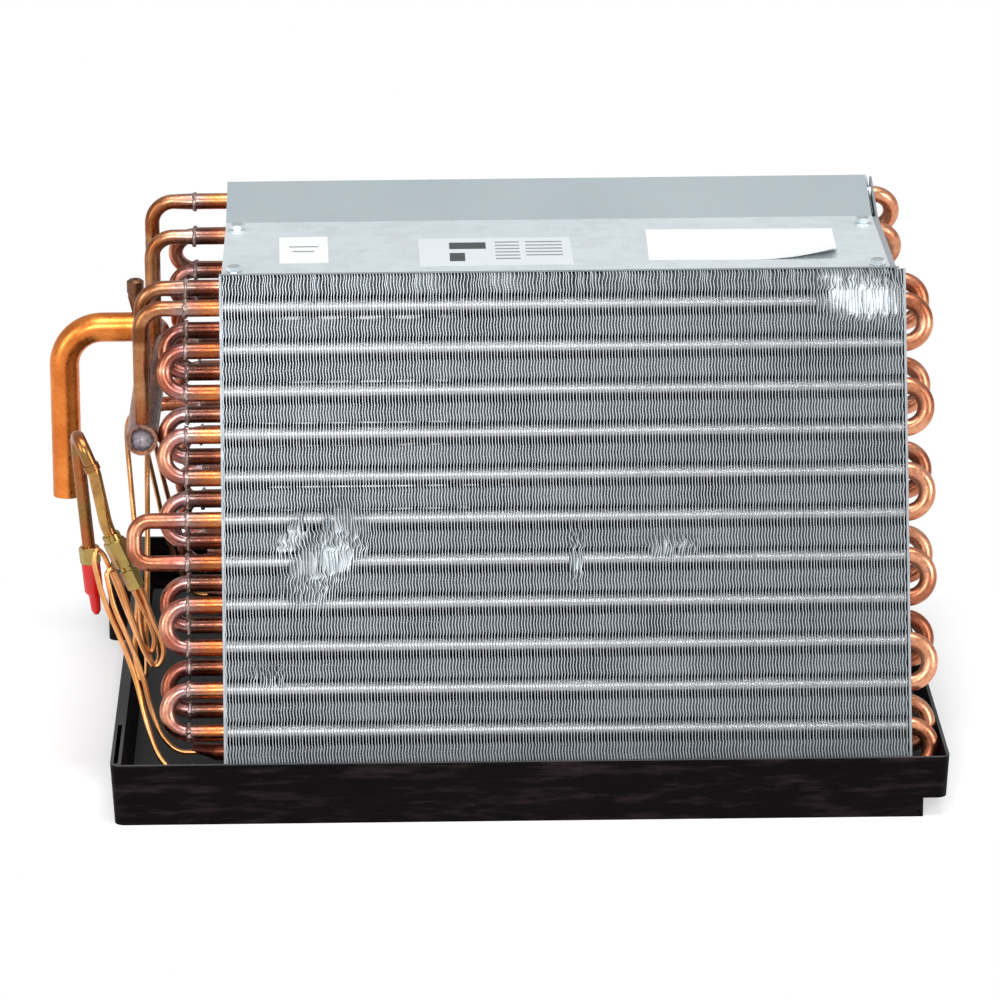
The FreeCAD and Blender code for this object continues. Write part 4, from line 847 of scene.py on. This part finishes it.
def area_lamp(name, place, size, power):
    """A soft lamp, its place and size in metres and its power in watts, turned to the coil."""
    lamp = bpy.data.lights.new(name, "AREA")
    lamp.shape = "RECTANGLE"
    lamp.size, lamp.size_y = size
    lamp.energy = power
    holder = bpy.data.objects.new(name, lamp)
    bpy.context.scene.collection.objects.link(holder)
    holder.location = place
    holder.rotation_euler = (Vector(COIL_MIDDLE) - Vector(place)).to_track_quat("-Z", "Y").to_euler()


emission_world(strength=0.56, seen=1.0)
area_lamp("top_softbox", (0.1, -0.4, 1.9), (1.5, 0.9), 27)
area_lamp("front_softbox", (-0.5, -2.6, 1.5), (0.9, 0.7), 29)
area_lamp("left_softbox", (-1.9, -1.2, 0.9), (0.8, 1.2), 14)
area_lamp("right_softbox", (2.0, -1.4, 0.9), (0.8, 1.2), 24)

FLOOR_NEAR, FLOOR_FAR = 1.05, 1.6  # the floor turns plain white between these multiples of the footprint


def floor_material():
    """Pale and matt under the object, and plain white further off, as a lit studio sweep looks."""
    material, tree, where, shader = new_material("pale_floor")
    shader.inputs["Base Color"].default_value = linear("FAFAFA")
    shader.inputs["Roughness"].default_value = 0.9
    low, high = Vector(cad_bounds[0]), Vector(cad_bounds[1])
    scale = (2 / (high.x - low.x), 2 / (high.y - low.y), 0)
    place = add(tree, "Mapping", Vector=where, Scale=scale)
    distance = add(tree, "VectorMath", {"operation": "LENGTH"}, Vector=place.outputs["Vector"])
    away = spread(tree, distance.outputs["Value"], FLOOR_NEAR, FLOOR_FAR, 0, 1)
    path = tree.nodes.new("ShaderNodeLightPath")
    seen = add(tree, "Math", {"operation": "MAXIMUM"})
    tree.links.new(path.outputs["Is Camera Ray"], seen.inputs[0])
    tree.links.new(path.outputs["Is Glossy Ray"], seen.inputs[1])
    share = add(tree, "Math", {"operation": "MULTIPLY"})
    tree.links.new(seen.outputs[0], share.inputs[0])
    tree.links.new(away, share.inputs[1])
    white = add(tree, "Emission", Strength=1.0)
    blend = add(tree, "MixShader", Fac=share.outputs[0])
    tree.links.new(shader.outputs["BSDF"], blend.inputs[1])
    tree.links.new(white.outputs["Emission"], blend.inputs[2])
    output = next(node for node in tree.nodes if node.type == "OUTPUT_MATERIAL")
    tree.links.new(blend.outputs["Shader"], output.inputs["Surface"])
    return material


floor_mesh = bmesh.new()
bmesh.ops.create_grid(floor_mesh, x_segments=1, y_segments=1, size=FLOOR_REACH)
mesh = bpy.data.meshes.new("floor")
floor_mesh.to_mesh(mesh)
floor_mesh.free()
floor = bpy.data.objects.new("floor", mesh)
bpy.context.scene.collection.objects.link(floor)
mesh.materials.append(floor_material())

EYE = mm(-63.8, -3190, 1159.8)
PITCH, ROLL = math.radians(-15.76), -0.0113
lens = bpy.data.cameras.new("camera")
lens.lens, lens.sensor_width = 192.7, 36
lens.shift_x, lens.shift_y = 0.1257, -0.1965
lens.clip_end = 50
camera = bpy.data.objects.new("camera", lens)
bpy.context.scene.collection.objects.link(camera)
camera.location = EYE
tilt = Matrix.Rotation(math.radians(90) + PITCH, 4, "X")
camera.rotation_euler = (tilt @ Matrix.Rotation(ROLL, 4, "Z")).to_euler()
bpy.context.scene.camera = camera
bpy.context.scene.view_settings.view_transform = "Standard"
